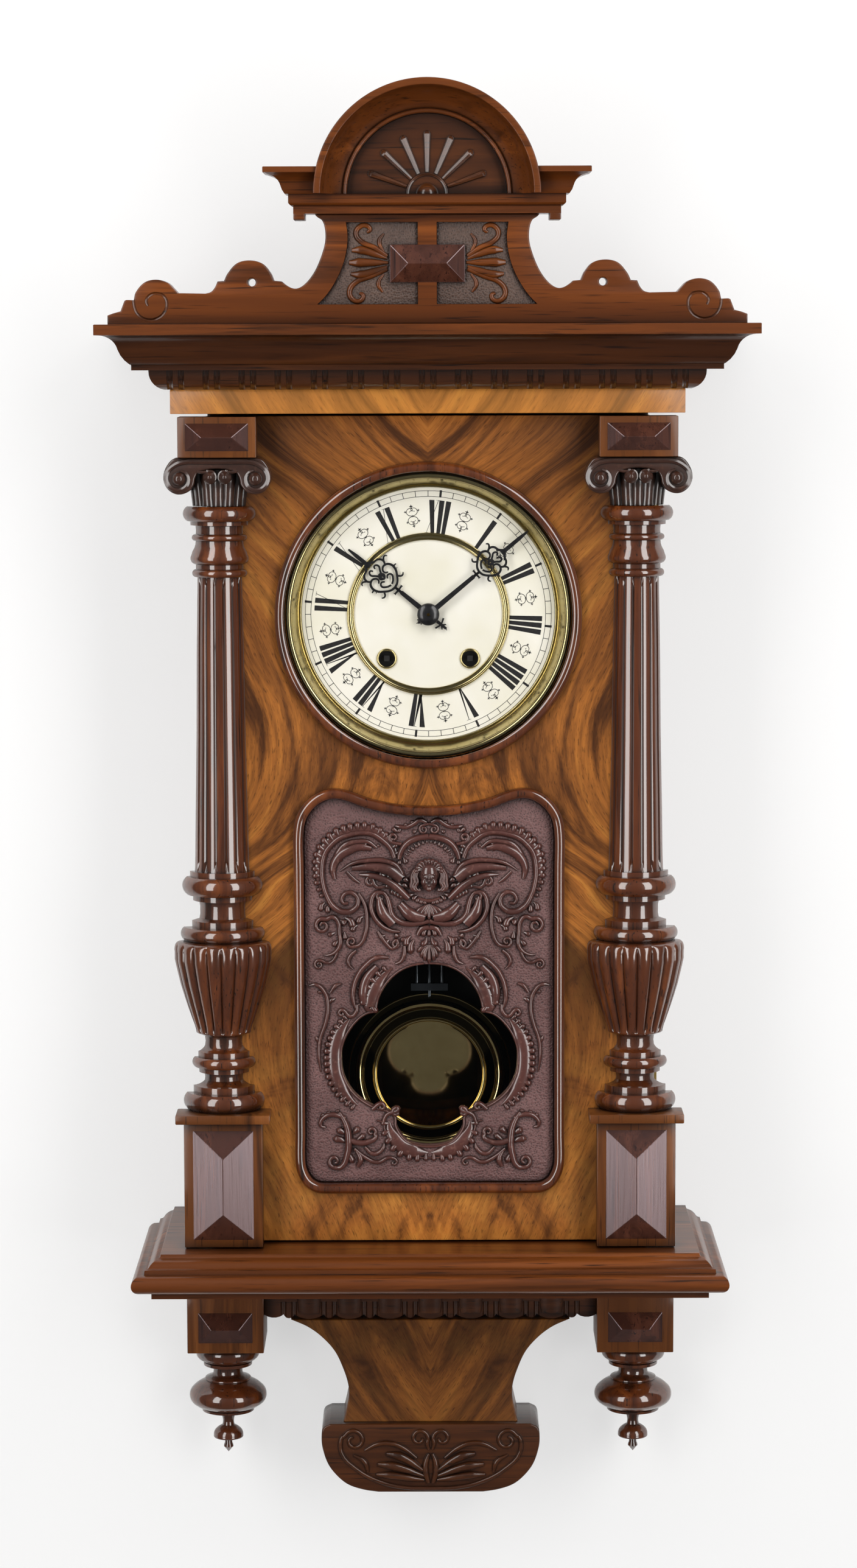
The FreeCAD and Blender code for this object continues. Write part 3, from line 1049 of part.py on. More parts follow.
# Barrels: great wheel and drum in one, mainspring coiled inside, winding arbor through the middle.
strike_pinion_phase = meshed(great_phase, GREAT_TEETH, STRIKE_AT, LEAVES, PIN_AT)
d0, d1 = DRUM_DEPTHS
spring_depths = (d0 + DRUM_WALL + END_SHAKE, d1 - DRUM_WALL - END_SHAKE)
spring_r = SPRING_LOW_R + SPRING_PITCH * SPRING_TURNS
ratchet_top = RATCHET_DEPTH + MOTION_T
for name, (x, h) in (("time", BARREL_AT), ("strike", STRIKE_AT)):
    drum = hollow_rod(x, h, DRUM_R, DRUM_R - DRUM_WALL, d0, d1)
    lids = [hollow_rod(x, h, DRUM_R, barrel_hole_r, d, d + DRUM_WALL) for d in (d0, d1 - DRUM_WALL)]
    great = gear(x, h, GREAT_TEETH, GREAT_MODULE, GREAT_PLANE, GREAT_PLANE + WHEEL_T, great_phase)
    great = bored(great, x, h, barrel_hole_r, GREAT_PLANE, GREAT_PLANE + WHEEL_T)
    neck = hollow_rod(x, h, DRUM_R / 2, barrel_hole_r, GREAT_PLANE + WHEEL_T, d0)
    spring = coil(x, h, spring_r, SPRING_PITCH, SPRING_TURNS, SPRING_T, *spring_depths)
    save("barrel_" + name, [joined([drum] + lids + [great, neck]), spring])
    shaft = rod(x, h, BARREL_ARBOR_R, BACK_OUT, ratchet_top)
    square = box(x - SQUARE_HALF, x + SQUARE_HALF, RATCHET_DEPTH, SQUARE_TIP,
                 h - SQUARE_HALF, h + SQUARE_HALF)
    wheel = ratchet(x, h, RATCHET_R, RATCHET_CUT, RATCHET_TEETH, RATCHET_DEPTH, ratchet_top)
    save("winding_arbor_" + name, [joined([shaft, square, wheel])])
    px, ph = x + RATCHET_R + CLICK_OFFSET, h + CLICK_R
    pawl = joined([
        rod(px, ph, CLICK_R, RATCHET_DEPTH, ratchet_top),
        box(px - CLICK_W / 2, px + CLICK_W / 2, RATCHET_DEPTH, ratchet_top, ph, ph + CLICK_LENGTH),
    ])
    save("click_" + name, [bored(pawl, px, ph, arbor_hole_r, RATCHET_DEPTH, ratchet_top)])

# Striking train: pin wheel, warning wheel and the fly that slows it.
pin_phase = 0
save("pin_wheel_arbor", [arbor(PIN_AT, wheel_and_pinion(
    *PIN_AT, (SECOND_TEETH, SECOND_MODULE, FRONT_PLANE, pin_phase),
    (LEAVES, GREAT_MODULE, GREAT_PLANE, strike_pinion_phase),
))])
warning_phase = 0
warning_pinion_phase = meshed(pin_phase, SECOND_TEETH, PIN_AT, WARNING_LEAVES, WARNING_AT)
WARNING_PLANE = CENTRE_PLANE + WHEEL_T * 2
save("warning_arbor", [arbor(WARNING_AT, wheel_and_pinion(
    *WARNING_AT, (WARNING_TEETH, WARNING_MODULE, WARNING_PLANE, warning_phase),
    (WARNING_LEAVES, SECOND_MODULE, FRONT_PLANE, warning_pinion_phase),
))])
fly_pinion_phase = meshed(warning_phase, WARNING_TEETH, WARNING_AT, FLY_LEAVES, FLY_AT)
x, h = FLY_AT
vane_low, vane_top = WARNING_PLANE + WHEEL_T * 2, FRONT_PLANE + WHEEL_T
save("fly_arbor", [arbor(FLY_AT, [
    gear(x, h, FLY_LEAVES, WARNING_MODULE, WARNING_PLANE - END_SHAKE, WARNING_PLANE + WHEEL_T + END_SHAKE,
         fly_pinion_phase),
    box(x - FLY_HALF_W, x + FLY_HALF_W, vane_low, vane_top, h - FLY_T / 2, h + FLY_T / 2),
])])

# Motion work behind the dial, and the hands.
motion_low = PLATE_FRONT + MOTION_GAP
motion_top = motion_low + MOTION_T + MOTION_GAP
hour_module = 2 * MOTION_SPAN / (MINUTE_LEAVES + HOUR_TEETH)
minute_wheel_phase = meshed(0, CANNON_LEAVES, CENTRE_AT, MINUTE_TEETH, MOTION_AT)
hour_phase = meshed(0, MINUTE_LEAVES, MOTION_AT, HOUR_TEETH, CENTRE_AT)
cannon_top = MINUTE_HAND_DEPTH - HAND_T
cannon = joined([
    rod(0, 0, CANNON_R, motion_low, cannon_top),
    gear(0, 0, CANNON_LEAVES, CANNON_MODULE, motion_low, motion_low + MOTION_T, 0),
])
save("cannon_pinion", [bored(cannon, 0, 0, ARBOR_R, motion_low, cannon_top)])
x, h = MOTION_AT
wheel = joined([
    gear(x, h, MINUTE_TEETH, CANNON_MODULE, motion_low, motion_low + MOTION_T, minute_wheel_phase),
    gear(x, h, MINUTE_LEAVES, hour_module, motion_low, motion_top + MOTION_T, 0),
])
save("minute_wheel", [bored(wheel, x, h, arbor_hole_r, motion_low, motion_top)])
hour_wheel = joined([
    gear(0, 0, HOUR_TEETH, hour_module, motion_top, motion_top + MOTION_T, hour_phase),
    rod(0, 0, HOUR_PIPE_R, motion_top, HOUR_HAND_DEPTH),
])
save("hour_wheel", [bored(hour_wheel, 0, 0, HOUR_PIPE_BORE, motion_top, HOUR_HAND_DEPTH)])


def hand(shares, reach, degrees, d0, boss_r, bore):
    """A pierced hand, drawn along +Z and turned clockwise to its hour."""
    a = math.radians(degrees)
    flat = [(reach * u, reach * v) for u, v in shares]
    left = [(-u, v) for u, v in flat if u]
    ring = flat + left[::-1]
    c, s = math.cos(a), math.sin(a)
    blade = plate([(u * c + v * s, v * c - u * s) for u, v in ring], d0, d0 + HAND_T)
    boss = rod(0, 0, boss_r, d0, d0 + HAND_T)
    return bored(joined([blade, boss]), 0, 0, bore, d0, d0 + HAND_T)


MINUTE_SHARES = [
    (0.0, -0.12), (0.022, -0.1), (0.02, 0.0), (0.02, 0.3), (0.05, 0.4), (0.1, 0.47), (0.12, 0.55),
    (0.1, 0.63), (0.05, 0.7), (0.02, 0.76), (0.012, 0.9), (0.0, 1.0),
]
HOUR_SHARES = [
    (0.0, -0.25), (0.06, -0.22), (0.06, -0.16), (0.025, -0.1), (0.025, 0.25), (0.09, 0.36), (0.16, 0.45),
    (0.17, 0.58), (0.11, 0.66), (0.1, 0.72), (0.06, 0.79), (0.025, 0.85), (0.0, 1.0),
]
minute_hand = hand(MINUTE_SHARES, MINUTE_REACH, MINUTE_HAND_DEGREES, cannon_top, HAND_BOSS_R / 2, ARBOR_R)
boss_top = MINUTE_HAND_DEPTH + HAND_BOSS_HIGH
minute_cap = hollow_rod(0, 0, HAND_BOSS_R, ARBOR_R, MINUTE_HAND_DEPTH, boss_top)
save("minute_hand", [joined([minute_hand, minute_cap])])
hour_hand = hand(HOUR_SHARES, HOUR_REACH, HOUR_HAND_DEGREES, HOUR_HAND_DEPTH - HAND_T, HAND_BOSS_R,
                 HOUR_PIPE_R + PIVOT_FIT)
save("hour_hand", [hour_hand])

# Anchor with crutch, suspension cock and the pendulum.
anchor_top = ANCHOR_DEPTH + WHEEL_T
pallet_tip_x = PALLET_X + PALLET_W
crutch_rear = CRUTCH_DEPTH - CRUTCH_T
crutch_end = SUSPENSION_H - CRUTCH_LONG
fork_in = ROD_R + FORK_GAP
yoke_w = fork_in + CRUTCH_T
pieces = [
    rod(0, SUSPENSION_H, ARBOR_R, crutch_rear, FRONT_IN - END_SHAKE),
    rod(0, SUSPENSION_H, PIVOT_R, FRONT_IN - END_SHAKE * 2, PLATE_FRONT),
    rod(0, SUSPENSION_H, ANCHOR_HUB_R, ANCHOR_DEPTH, anchor_top),
    box(-CRUTCH_W / 2, CRUTCH_W / 2, crutch_rear, CRUTCH_DEPTH, crutch_end, SUSPENSION_H),
    box(-yoke_w, yoke_w, crutch_rear, CRUTCH_DEPTH, crutch_end, crutch_end + CRUTCH_W),
]
for s in (-1, 1):
    pieces.append(plate([
        (0, SUSPENSION_H - ANCHOR_ARM / 2), (s * PALLET_X, PALLET_H + PALLET_HIGH / 2),
        (s * pallet_tip_x, PALLET_H + PALLET_HIGH), (0, SUSPENSION_H + ANCHOR_ARM / 2),
    ], ANCHOR_DEPTH, anchor_top))
    x0, x1 = sorted((s * PALLET_X, s * pallet_tip_x))
    pieces.append(box(x0, x1, ANCHOR_DEPTH, anchor_top, PALLET_H, PALLET_H + PALLET_HIGH))
    x0, x1 = sorted((s * fork_in, s * yoke_w))
    pieces.append(box(x0, x1, PENDULUM_DEPTH - ROD_R, CRUTCH_DEPTH, crutch_end, crutch_end + CRUTCH_W))
save("anchor_and_crutch", [joined(pieces)])
cheek_half = COCK_CHEEK_GAP / 2
cheek_low = SUSPENSION_H - COCK_CHEEK_T * 2
pin_depths = (PENDULUM_DEPTH - cheek_half - COCK_CHEEK_T, PENDULUM_DEPTH + cheek_half + COCK_CHEEK_T)
cock = [box(-COCK_W / 2, COCK_W / 2, pin_depths[0], BACK_OUT, COCK_LOW_H, COCK_TOP_H)]
for d in (pin_depths[0], PENDULUM_DEPTH + cheek_half):
    cheek = box(-COCK_W / 3, COCK_W / 3, d, d + COCK_CHEEK_T, cheek_low, COCK_LOW_H)
    cock.append(bored(cheek, 0, SUSPENSION_H, COCK_PIN_R + PIVOT_FIT, d, d))
save("suspension_cock", [joined(cock)])
strip_low = SUSPENSION_H - HOOK_HIGH
grid_top = GRID_TOP_H + GRID_BAR_HIGH
bar_half = ROD_SPACING + GRID_BAR_OUT
bar_depths = (PENDULUM_DEPTH - ROD_R * 2, PENDULUM_DEPTH + ROD_R * 2)
pieces = [
    rod(0, SUSPENSION_H, COCK_PIN_R, *pin_depths),
    box(-SPRING_STRIP_W / 2, SPRING_STRIP_W / 2, PENDULUM_DEPTH - SPRING_STRIP_T,
        PENDULUM_DEPTH + SPRING_STRIP_T, strip_low, SUSPENSION_H),
    post(0, PENDULUM_DEPTH, ROD_R, grid_top - OVERRUN, strip_low + OVERRUN),
    post(0, PENDULUM_DEPTH, ROD_R, CENTRE_ROD_END_H, GRID_LOW_H),
]
pieces += [box(-bar_half, bar_half, *bar_depths, h, h + GRID_BAR_HIGH) for h in (GRID_TOP_H, GRID_LOW_H)]
pieces += [post(k * ROD_SPACING, PENDULUM_DEPTH, ROD_R, GRID_LOW_H, grid_top) for k in (-1, 0, 1)]
bob_low = BOB_H - BOB_R
nut = post(0, PENDULUM_DEPTH, NUT_R, bob_low - NUT_HIGH, bob_low - PIVOT_FIT)
nut = nut.cut(post(0, PENDULUM_DEPTH, ROD_R, CENTRE_ROD_END_H, bob_low))
save("pendulum_rods", [joined(pieces), nut])
pairs = [(BOB_R * a, PENDULUM_DEPTH + BOB_T * b) for a, b in BOB_SHARES]
bob_hole = post(0, PENDULUM_DEPTH, ROD_R + PIVOT_FIT, BOB_H - BOB_R * 2, BOB_H + BOB_R * 2)
save("pendulum_bob", [spun(pairs, 0, BOB_H).cut(bob_hole)])

# Gong coil on its block, and the hammer that strikes it.
gong = coil(0, GONG_H, GONG_R, GONG_PITCH, GONG_TURNS, GONG_WIRE, GONG_DEPTH, GONG_DEPTH + GONG_WIRE)
print("gong turns lie", GONG_PITCH - GONG_WIRE, "mm apart")
inner_r = GONG_R - GONG_PITCH * (2 * GONG_TURNS - 1) / 2
end_x = GONG_PITCH / 4 + inner_r
block = box(end_x - GONG_BLOCK_HALF_W, end_x + GONG_BLOCK_HALF_W, BACK_T, GONG_DEPTH - GONG_STUD_HIGH,
            GONG_H - GONG_BLOCK_HIGH / 2, GONG_H + GONG_BLOCK_HIGH / 2)
stud = rod(end_x, GONG_H, GONG_STUD_R, BACK_T, GONG_DEPTH)
save("gong_coil", [gong])
save("gong_block", [joined([block, stud])])
half = HAMMER_ARM_W / 2
arm_rear = HAMMER_DEPTH - HAMMER_ARM_T
arm = box(HAMMER_X - half, HAMMER_X + half, arm_rear, HAMMER_DEPTH, HAMMER_HEAD_H, HAMMER_H)
hub = rod(HAMMER_X, HAMMER_H, HAMMER_HEAD_R, arm_rear, HAMMER_DEPTH)
head = rod(HAMMER_X, HAMMER_HEAD_H, HAMMER_HEAD_R, GONG_DEPTH, HAMMER_DEPTH)
save("hammer", [bored(joined([arm, hub, head]), HAMMER_X, HAMMER_H, arbor_hole_r, arm_rear, HAMMER_DEPTH)])

for name, at in (
    ("barrel", BARREL_AT), ("strike barrel", STRIKE_AT), ("second", SECOND_AT), ("third", THIRD_AT),
    ("escape", ESCAPE_AT), ("anchor", ANCHOR_AT), ("pin wheel", PIN_AT), ("warning", WARNING_AT),
    ("fly", FLY_AT), ("minute wheel", MOTION_AT), ("hammer", HAMMER_AT),
):
    print(name, "axis at x", round(at[0], 4), "z", round(up(at[1]), 4))
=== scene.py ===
import math
from contextlib import contextmanager
import bpy
from mathutils import Matrix, Vector


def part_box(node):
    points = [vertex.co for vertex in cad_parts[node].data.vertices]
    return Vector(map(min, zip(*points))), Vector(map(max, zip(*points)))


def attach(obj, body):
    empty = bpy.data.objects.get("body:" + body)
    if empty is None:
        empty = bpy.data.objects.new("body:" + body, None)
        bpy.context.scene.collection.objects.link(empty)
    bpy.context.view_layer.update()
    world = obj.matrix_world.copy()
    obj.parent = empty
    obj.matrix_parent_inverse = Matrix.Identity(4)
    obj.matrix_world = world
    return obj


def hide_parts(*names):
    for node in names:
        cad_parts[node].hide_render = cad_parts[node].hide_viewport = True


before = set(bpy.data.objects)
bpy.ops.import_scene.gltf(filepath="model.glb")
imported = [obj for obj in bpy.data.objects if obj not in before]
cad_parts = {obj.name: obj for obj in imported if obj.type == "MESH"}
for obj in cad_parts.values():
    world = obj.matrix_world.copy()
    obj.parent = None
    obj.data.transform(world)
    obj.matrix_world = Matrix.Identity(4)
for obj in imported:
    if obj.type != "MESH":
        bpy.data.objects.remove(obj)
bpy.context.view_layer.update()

mm = 0.001
PHOTO_W, PHOTO_H = 1408, 2576
EYE = Vector((1.2, -2733.7, 19.9)) * mm
TILT, ROLL, YAW = math.radians(83.51), math.radians(-0.16), math.radians(0.03)
LENS, SENSOR = 90.21, 36.0
stance = Matrix.Rotation(YAW, 4, "Z") @ Matrix.Rotation(TILT, 4, "X") @ Matrix.Rotation(ROLL, 4, "Z")
camera_data = bpy.data.cameras.new("studio_camera")
camera_data.lens = LENS
camera_data.sensor_width = SENSOR
camera_data.clip_end = 30
camera = bpy.data.objects.new("studio_camera", camera_data)
camera.matrix_world = Matrix.Translation(EYE) @ stance
bpy.context.scene.collection.objects.link(camera)
bpy.context.scene.camera = camera
bpy.context.scene.view_settings.view_transform = "Standard"
DIAL_Z = (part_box("dial_plate")[0].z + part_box("dial_plate")[1].z) / 2


def at(x, depth, h):
    """A place given in mm: across, out from the wall, and up from the dial's centre."""
    return Vector((x * mm, -depth * mm, DIAL_Z + h * mm))


def seen(px, py, depth):
    """Across and up, in mm, of what shows at a pixel of the photograph, that far out from the wall."""
    focal = LENS / SENSOR * PHOTO_H
    ray = stance.to_3x3() @ Vector(((px - PHOTO_W / 2) / focal, (PHOTO_H / 2 - py) / focal, -1))
    hit = EYE + ray * ((-depth * mm - EYE.y) / ray.y)
    return hit.x / mm, (hit.z - DIAL_Z) / mm


def tint(code):
    """A colour written as a web code, in linear light."""
    parts = [int(code[k:k + 2], 16) / 255 for k in (1, 3, 5)]
    return tuple(p / 12.92 if p <= 0.04045 else ((p + 0.055) / 1.055) ** 2.4 for p in parts) + (1.0,)


NONE, FULL = (0, 0, 0, 1), (1, 1, 1, 1)


class Tone:
    """A value, colour or vector on its way through a finish."""

    def __init__(self, finish, socket):
        self.finish = finish
        self.socket = socket

    def math(self, operation, a, b):
        return self.finish.math(operation, a, b)

    def __add__(self, other):
        return self.math("ADD", self, other)

    __radd__ = __add__

    def __sub__(self, other):
        return self.math("SUBTRACT", self, other)

    def __rsub__(self, other):
        return self.math("SUBTRACT", other, self)

    def __mul__(self, other):
        return self.math("MULTIPLY", self, other)

    __rmul__ = __mul__

    def __abs__(self):
        return self.math("ABSOLUTE", self, 0)


class Finish:
    """One material: its shader, and the nodes that lead to it."""

    def __init__(self, name, **constants):
        self.material = bpy.data.materials.new(name)
        self.material.use_nodes = True
        self.tree = self.material.node_tree
        self.shader = self.tree.nodes["Principled BSDF"]
        for socket, value in constants.items():
            self.shader.inputs[socket.replace("_", " ")].default_value = value

    def node(self, kind, settings, sockets, out=0):
        made = self.tree.nodes.new(kind)
        for name, value in settings.items():
            if name == "stops":
                ramp = made.color_ramp
                for place, _ in value[2:]:
                    ramp.elements.new(place)
                for element, (place, colour) in zip(ramp.elements, sorted(value)):
                    element.position = place
                    element.color = colour
            else:
                setattr(made, name, value)
        for key, value in sockets.items():
            if isinstance(value, Tone):
                self.tree.links.new(value.socket, made.inputs[key])
            else:
                made.inputs[key].default_value = value
        return Tone(self, made.outputs[out])

    def math(self, operation, a, b):
        return self.node("ShaderNodeMath", {"operation": operation}, {0: a, 1: b})

    def place(self):
        return self.node("ShaderNodeTexCoord", {}, {}, "Object")

    def mapped(self, place, scale, turn=(0, 0, 0), shift=(0, 0, 0)):
        return self.node("ShaderNodeMapping", {},
                         {0: place, "Location": shift, "Rotation": turn, "Scale": scale})

    def noise(self, place, scale, detail=4.0, rough=0.5, bend=0.0):
        return self.node("ShaderNodeTexNoise", {}, {
            "Vector": place, "Scale": scale, "Detail": detail, "Roughness": rough, "Distortion": bend})

    def ramp(self, value, *stops):
        return self.node("ShaderNodeValToRGB", {"stops": stops}, {0: value})

    def mask(self, value, none_at, full_at):
        """Nothing at one value, growing to the whole at the other."""
        return self.ramp(value, *sorted(((none_at, NONE), (full_at, FULL))))

    def mixed(self, share, first, second, way="MIX"):
        return self.node("ShaderNodeMix", {"data_type": "RGBA", "blend_type": way},
                         {0: share, 6: first, 7: second}, 2)

    def painted_hollow_shade(self, reach, share, body, shade_colour):
        """Painted shade: the corners and hollows, found by ambient occlusion, are darkened towards the shade
        colour.
        """
        open_air = self.node("ShaderNodeAmbientOcclusion", {"samples": 6}, {"Distance": reach}, "AO")
        return self.mixed(self.ramp(open_air, (0.42, (share, share, share, 1)), (0.96, NONE)), body, shade_colour)

    def bump(self, height, distance, strength=1.0):
        return self.node("ShaderNodeBump", {}, {"Height": height, "Distance": distance, "Strength": strength})

    def feed(self, **tones):
        for socket, tone in tones.items():
            self.tree.links.new(tone.socket, self.shader.inputs[socket.replace("_", " ")])
        return self.material


def pick(*pieces):
    """Only these are selected, and the first is active."""
    if bpy.context.object and bpy.context.object.mode != "OBJECT":
        bpy.ops.object.mode_set(mode="OBJECT")
    bpy.ops.object.select_all(action="DESELECT")
    for piece in pieces:
        piece.select_set(True)
    bpy.context.view_layer.objects.active = pieces[0]


def settle(piece):
    """The piece's place goes into its mesh."""
    pick(piece)
    bpy.ops.object.transform_apply(location=True, rotation=True, scale=True)


def soft_box(name, x, depth, h, wide, high, power, colour, mirrored=True):
    """A lamp of that many metres and watts, turned towards the middle of the clock."""
    lamp = bpy.data.lights.new(name, "AREA")
    lamp.shape = "RECTANGLE"
    lamp.size = wide
    lamp.size_y = high
    lamp.energy = power
    lamp.color = colour
    box = bpy.data.objects.new(name, lamp)
    box.location = at(x, depth, h)
    aim = at(0, 60, -150) - box.location
    box.rotation_euler = aim.to_track_quat("-Z", "Y").to_euler()
    box.visible_glossy = mirrored
    bpy.context.scene.collection.objects.link(box)


WARM = (1.0, 0.985, 0.97)
soft_box("left_box", -1140, 1600, 315, wide=0.7, high=2.5, power=27, colour=WARM)
soft_box("right_box", 1140, 1600, 315, wide=0.7, high=2.5, power=31, colour=WARM)
soft_box("top_box", 0, 1500, 1900, wide=1.6, high=0.8, power=19, colour=(1.0, 0.99, 0.98), mirrored=False)

world = bpy.data.worlds.new("studio_room")
world.use_nodes = True
bpy.context.scene.world = world
room = world.node_tree
rays = room.nodes.new("ShaderNodeLightPath")
TO_CAMERA, TO_MATT, TO_GLOSS = 0.92, 0.18, 0.1
strength = room.nodes.new("ShaderNodeMix")
strength.inputs[3].default_value = TO_CAMERA
dimmed = room.nodes.new("ShaderNodeMix")
dimmed.inputs[2].default_value = TO_MATT
dimmed.inputs[3].default_value = TO_GLOSS
room.links.new(rays.outputs["Is Glossy Ray"], dimmed.inputs[0])
room.links.new(dimmed.outputs[0], strength.inputs[2])
room.links.new(rays.outputs["Is Camera Ray"], strength.inputs[0])
room.links.new(strength.outputs[0], room.nodes["Background"].inputs["Strength"])
room.nodes["Background"].inputs["Color"].default_value = (1, 1, 1, 1)

stage_white = Finish("stage_white", Base_Color=tint("#F4F4F4"), Roughness=0.9, Specular_IOR_Level=0.1)
shown, in_gloss, through = (stage_white.node("ShaderNodeLightPath", {}, {}, ray) for ray in (
    "Is Camera Ray", "Is Glossy Ray", "Is Transmission Ray"))
glow = stage_white.node("ShaderNodeEmission", {}, {"Color": tint("#F7F7F7"), "Strength": 1.0})
plain = stage_white.node("ShaderNodeMixShader", {}, {
    0: (shown + through) * 0.6 + in_gloss * 0.15, 1: Tone(stage_white, stage_white.shader.outputs[0]), 2: glow})
behind = stage_white.node("ShaderNodeNewGeometry", {}, {}, "Backfacing")
clear = stage_white.node("ShaderNodeBsdfTransparent", {}, {})
final = stage_white.node("ShaderNodeMixShader", {}, {0: behind, 1: plain, 2: clear})
stage_white.tree.links.new(final.socket, stage_white.tree.nodes["Material Output"].inputs["Surface"])
STAGE_SIZE, WALL_GAP, FLOOR_Z = 9.0, 0.002, -3.2
for stage_name, middle, turn in (("wall", (0, WALL_GAP, -0.3), math.pi / 2), ("floor", (0, 0, FLOOR_Z), 0)):
    pick(camera)
    bpy.ops.mesh.primitive_plane_add(size=STAGE_SIZE, location=middle, rotation=(turn, 0, 0))
    bpy.context.object.name = stage_name
    bpy.context.object.data.materials.append(stage_white.material)
    bpy.context.object.visible_glossy = stage_name == "wall"

# Case. A softwood back board with walnut-faced sides and a plain floor, glued and nailed.
# The back is stained and left matt; the sides are polished. An iron plate let into the top
# of the back board takes the wall hook.
PINE, PINE_DARK, PINE_VEIN = tint("#8A6238"), tint("#6E4A28"), tint("#4E321B")
pine = Finish("case_pine", Roughness=0.62)
board = pine.mapped(pine.place(), (34, 34, 2.2))
year_rings = pine.noise(board, 1.6, 6, 0.55, 0.6)
pores = pine.noise(pine.mapped(pine.place(), (900, 900, 28)), 1.0, 2, 0.6)
stain = pine.ramp(year_rings, (0.3, PINE), (0.52, PINE_DARK), (0.66, PINE_VEIN), (0.74, PINE_DARK))
BOARD_MIDDLE_Y = -0.0045
# The back board's inner face, inside the case, is made near-black: painted shade.
inside = pine.math("LESS_THAN", pine.node("ShaderNodeSeparateXYZ", {}, {0: pine.place()}, "Y"), BOARD_MIDDLE_Y)
PINE_FINISH = pine.feed(
    Base_Color=pine.mixed(inside, pine.mixed(pores * 0.35, stain, PINE_VEIN), tint("#0E0B09")),
    Normal=pine.bump(year_rings + pores * 0.4, 0.0004, 0.5))


def walnut(name, light, middle, dark, grain, coat, roughness, bump=0.00012, lacquer=0.12, along="x", polish=1.5,
           painted_shade_below=None):
    """Polished walnut: fine dark pores and streaks along the grain, under a clear polish, with painted shade in
    its hollows, and below a height if one is given.
    """
    wood = Finish(name, Coat_Weight=coat, Coat_Roughness=lacquer, Coat_IOR=polish, Roughness=roughness,
                  Specular_IOR_Level=0.18)
    size = {"x": (3, 60, 60), "z": (60, 60, 3)}[along]
    fine = {"x": (22, 700, 700), "z": (700, 700, 22)}[along]
    streak = wood.noise(wood.mapped(wood.place(), size), grain, 5, 0.6, 0.9)
    cloud = wood.noise(wood.mapped(wood.place(), tuple(s / 4 for s in size)), grain, 3, 0.5, 0.5)
    pore = wood.noise(wood.mapped(wood.place(), fine), 1.0, 2, 0.5)
    body = wood.ramp(streak, (0.34, dark), (0.47, middle), (0.64, light))
    depth = wood.mixed(wood.mask(cloud, 0.35, 0.65), body, middle)
    # Painted shade: the hollows and corners are darkened towards near-black.
    colour = wood.painted_hollow_shade(0.011, 0.8, wood.mixed(wood.mask(pore, 0.6, 0.72), depth, dark), tint("#100805"))
    # Painted shade: all colour below the given height is darkened.
    if painted_shade_below is not None:
        height = wood.node("ShaderNodeSeparateXYZ", {}, {0: wood.place()}, "Z")
        below_shade_mask = wood.math("LESS_THAN", height, at(0, 0, painted_shade_below).z)
        colour = wood.mixed(below_shade_mask, colour, (0.38, 0.38, 0.36, 1), "MULTIPLY")
    return wood.feed(Base_Color=colour, Normal=wood.bump(pore, bump, 0.5))


def dressed(finish, *nodes):
    """Parts that keep their own solid get their finish."""
    for node in nodes:
        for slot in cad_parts[node].material_slots:
            slot.material = finish


def hung(piece, name, body, finish, slot, *nodes, crease=32):
    """The piece is named, finished, set on its body, and stands for these solids."""
    piece.name = piece.data.name = name
    piece.data.materials.clear()
    piece.data.materials.append(finish)
    pick(piece)
    bpy.ops.object.shade_smooth_by_angle(angle=math.radians(crease))
    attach(piece, body)
    if nodes:
        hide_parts(*nodes)
    return piece


def joined(pieces):
    pick(*pieces)
    if len(pieces) > 1:
        bpy.ops.object.join()
    return bpy.context.object


@contextmanager
def shaping(piece):
    """The piece in edit mode, all of it selected, and then back again."""
    pick(piece)
    bpy.ops.object.mode_set(mode="EDIT")
    bpy.ops.mesh.select_all(action="SELECT")
    yield
    bpy.ops.object.mode_set(mode="OBJECT")


def welded(gap):
    """In edit mode, points closer than that many mm are made one, and all faces are turned outwards."""
    bpy.ops.mesh.select_all(action="SELECT")
    bpy.ops.mesh.remove_doubles(threshold=gap * mm)
    bpy.ops.mesh.normals_make_consistent(inside=False)


def block(x0, x1, d0, d1, h0, h1, ease=0.5):
    """A squared block with eased arrises; those at its rear stay sharp."""
    middle, size = (at(x0, d0, h0) + at(x1, d1, h1)) / 2, Vector((x1 - x0, d1 - d0, h1 - h0)) * mm
    pick(camera)
    bpy.ops.mesh.primitive_cube_add(size=1, location=middle)
    piece = bpy.context.object
    piece.scale = size
    settle(piece)
    with shaping(piece):
        bpy.ops.mesh.select_mode(type="EDGE")
        bpy.ops.mesh.select_all(action="DESELECT")
    corners = piece.data.vertices
    for edge in piece.data.edges:
        ends = [corners[v].co.y for v in edge.vertices]
        edge.select = not all(y > -(d0 + 0.01) * mm for y in ends)
    bpy.ops.object.mode_set(mode="EDIT")
    bpy.ops.mesh.bevel(offset=ease * mm, segments=2, affect="EDGES")
    bpy.ops.object.mode_set(mode="OBJECT")
    return piece


def facets(x, h, half_w, half_h, ridge, base, high):
    """A diamond-cut block: four planed facets that meet in a ridge or a point."""
    pick(camera)
    bpy.ops.mesh.primitive_plane_add(size=1, location=at(x, base, h), rotation=(math.pi / 2, 0, 0))
    piece = bpy.context.object
    piece.scale = Vector((2 * half_w, 2 * half_h, 1)) * mm
    settle(piece)
    across = half_w > half_h
    share = (ridge / half_w, 1, 0.004) if across else (0.004, 1, ridge / half_h)
    with shaping(piece):
        bpy.ops.mesh.extrude_region_move(TRANSFORM_OT_translate={"value": (0, -high * mm, 0)})
        bpy.ops.transform.resize(value=share, center_override=at(x, base + high, h))
        welded(0.2)
        bpy.ops.mesh.bevel(offset=0.25 * mm, segments=1, affect="EDGES")
    return piece


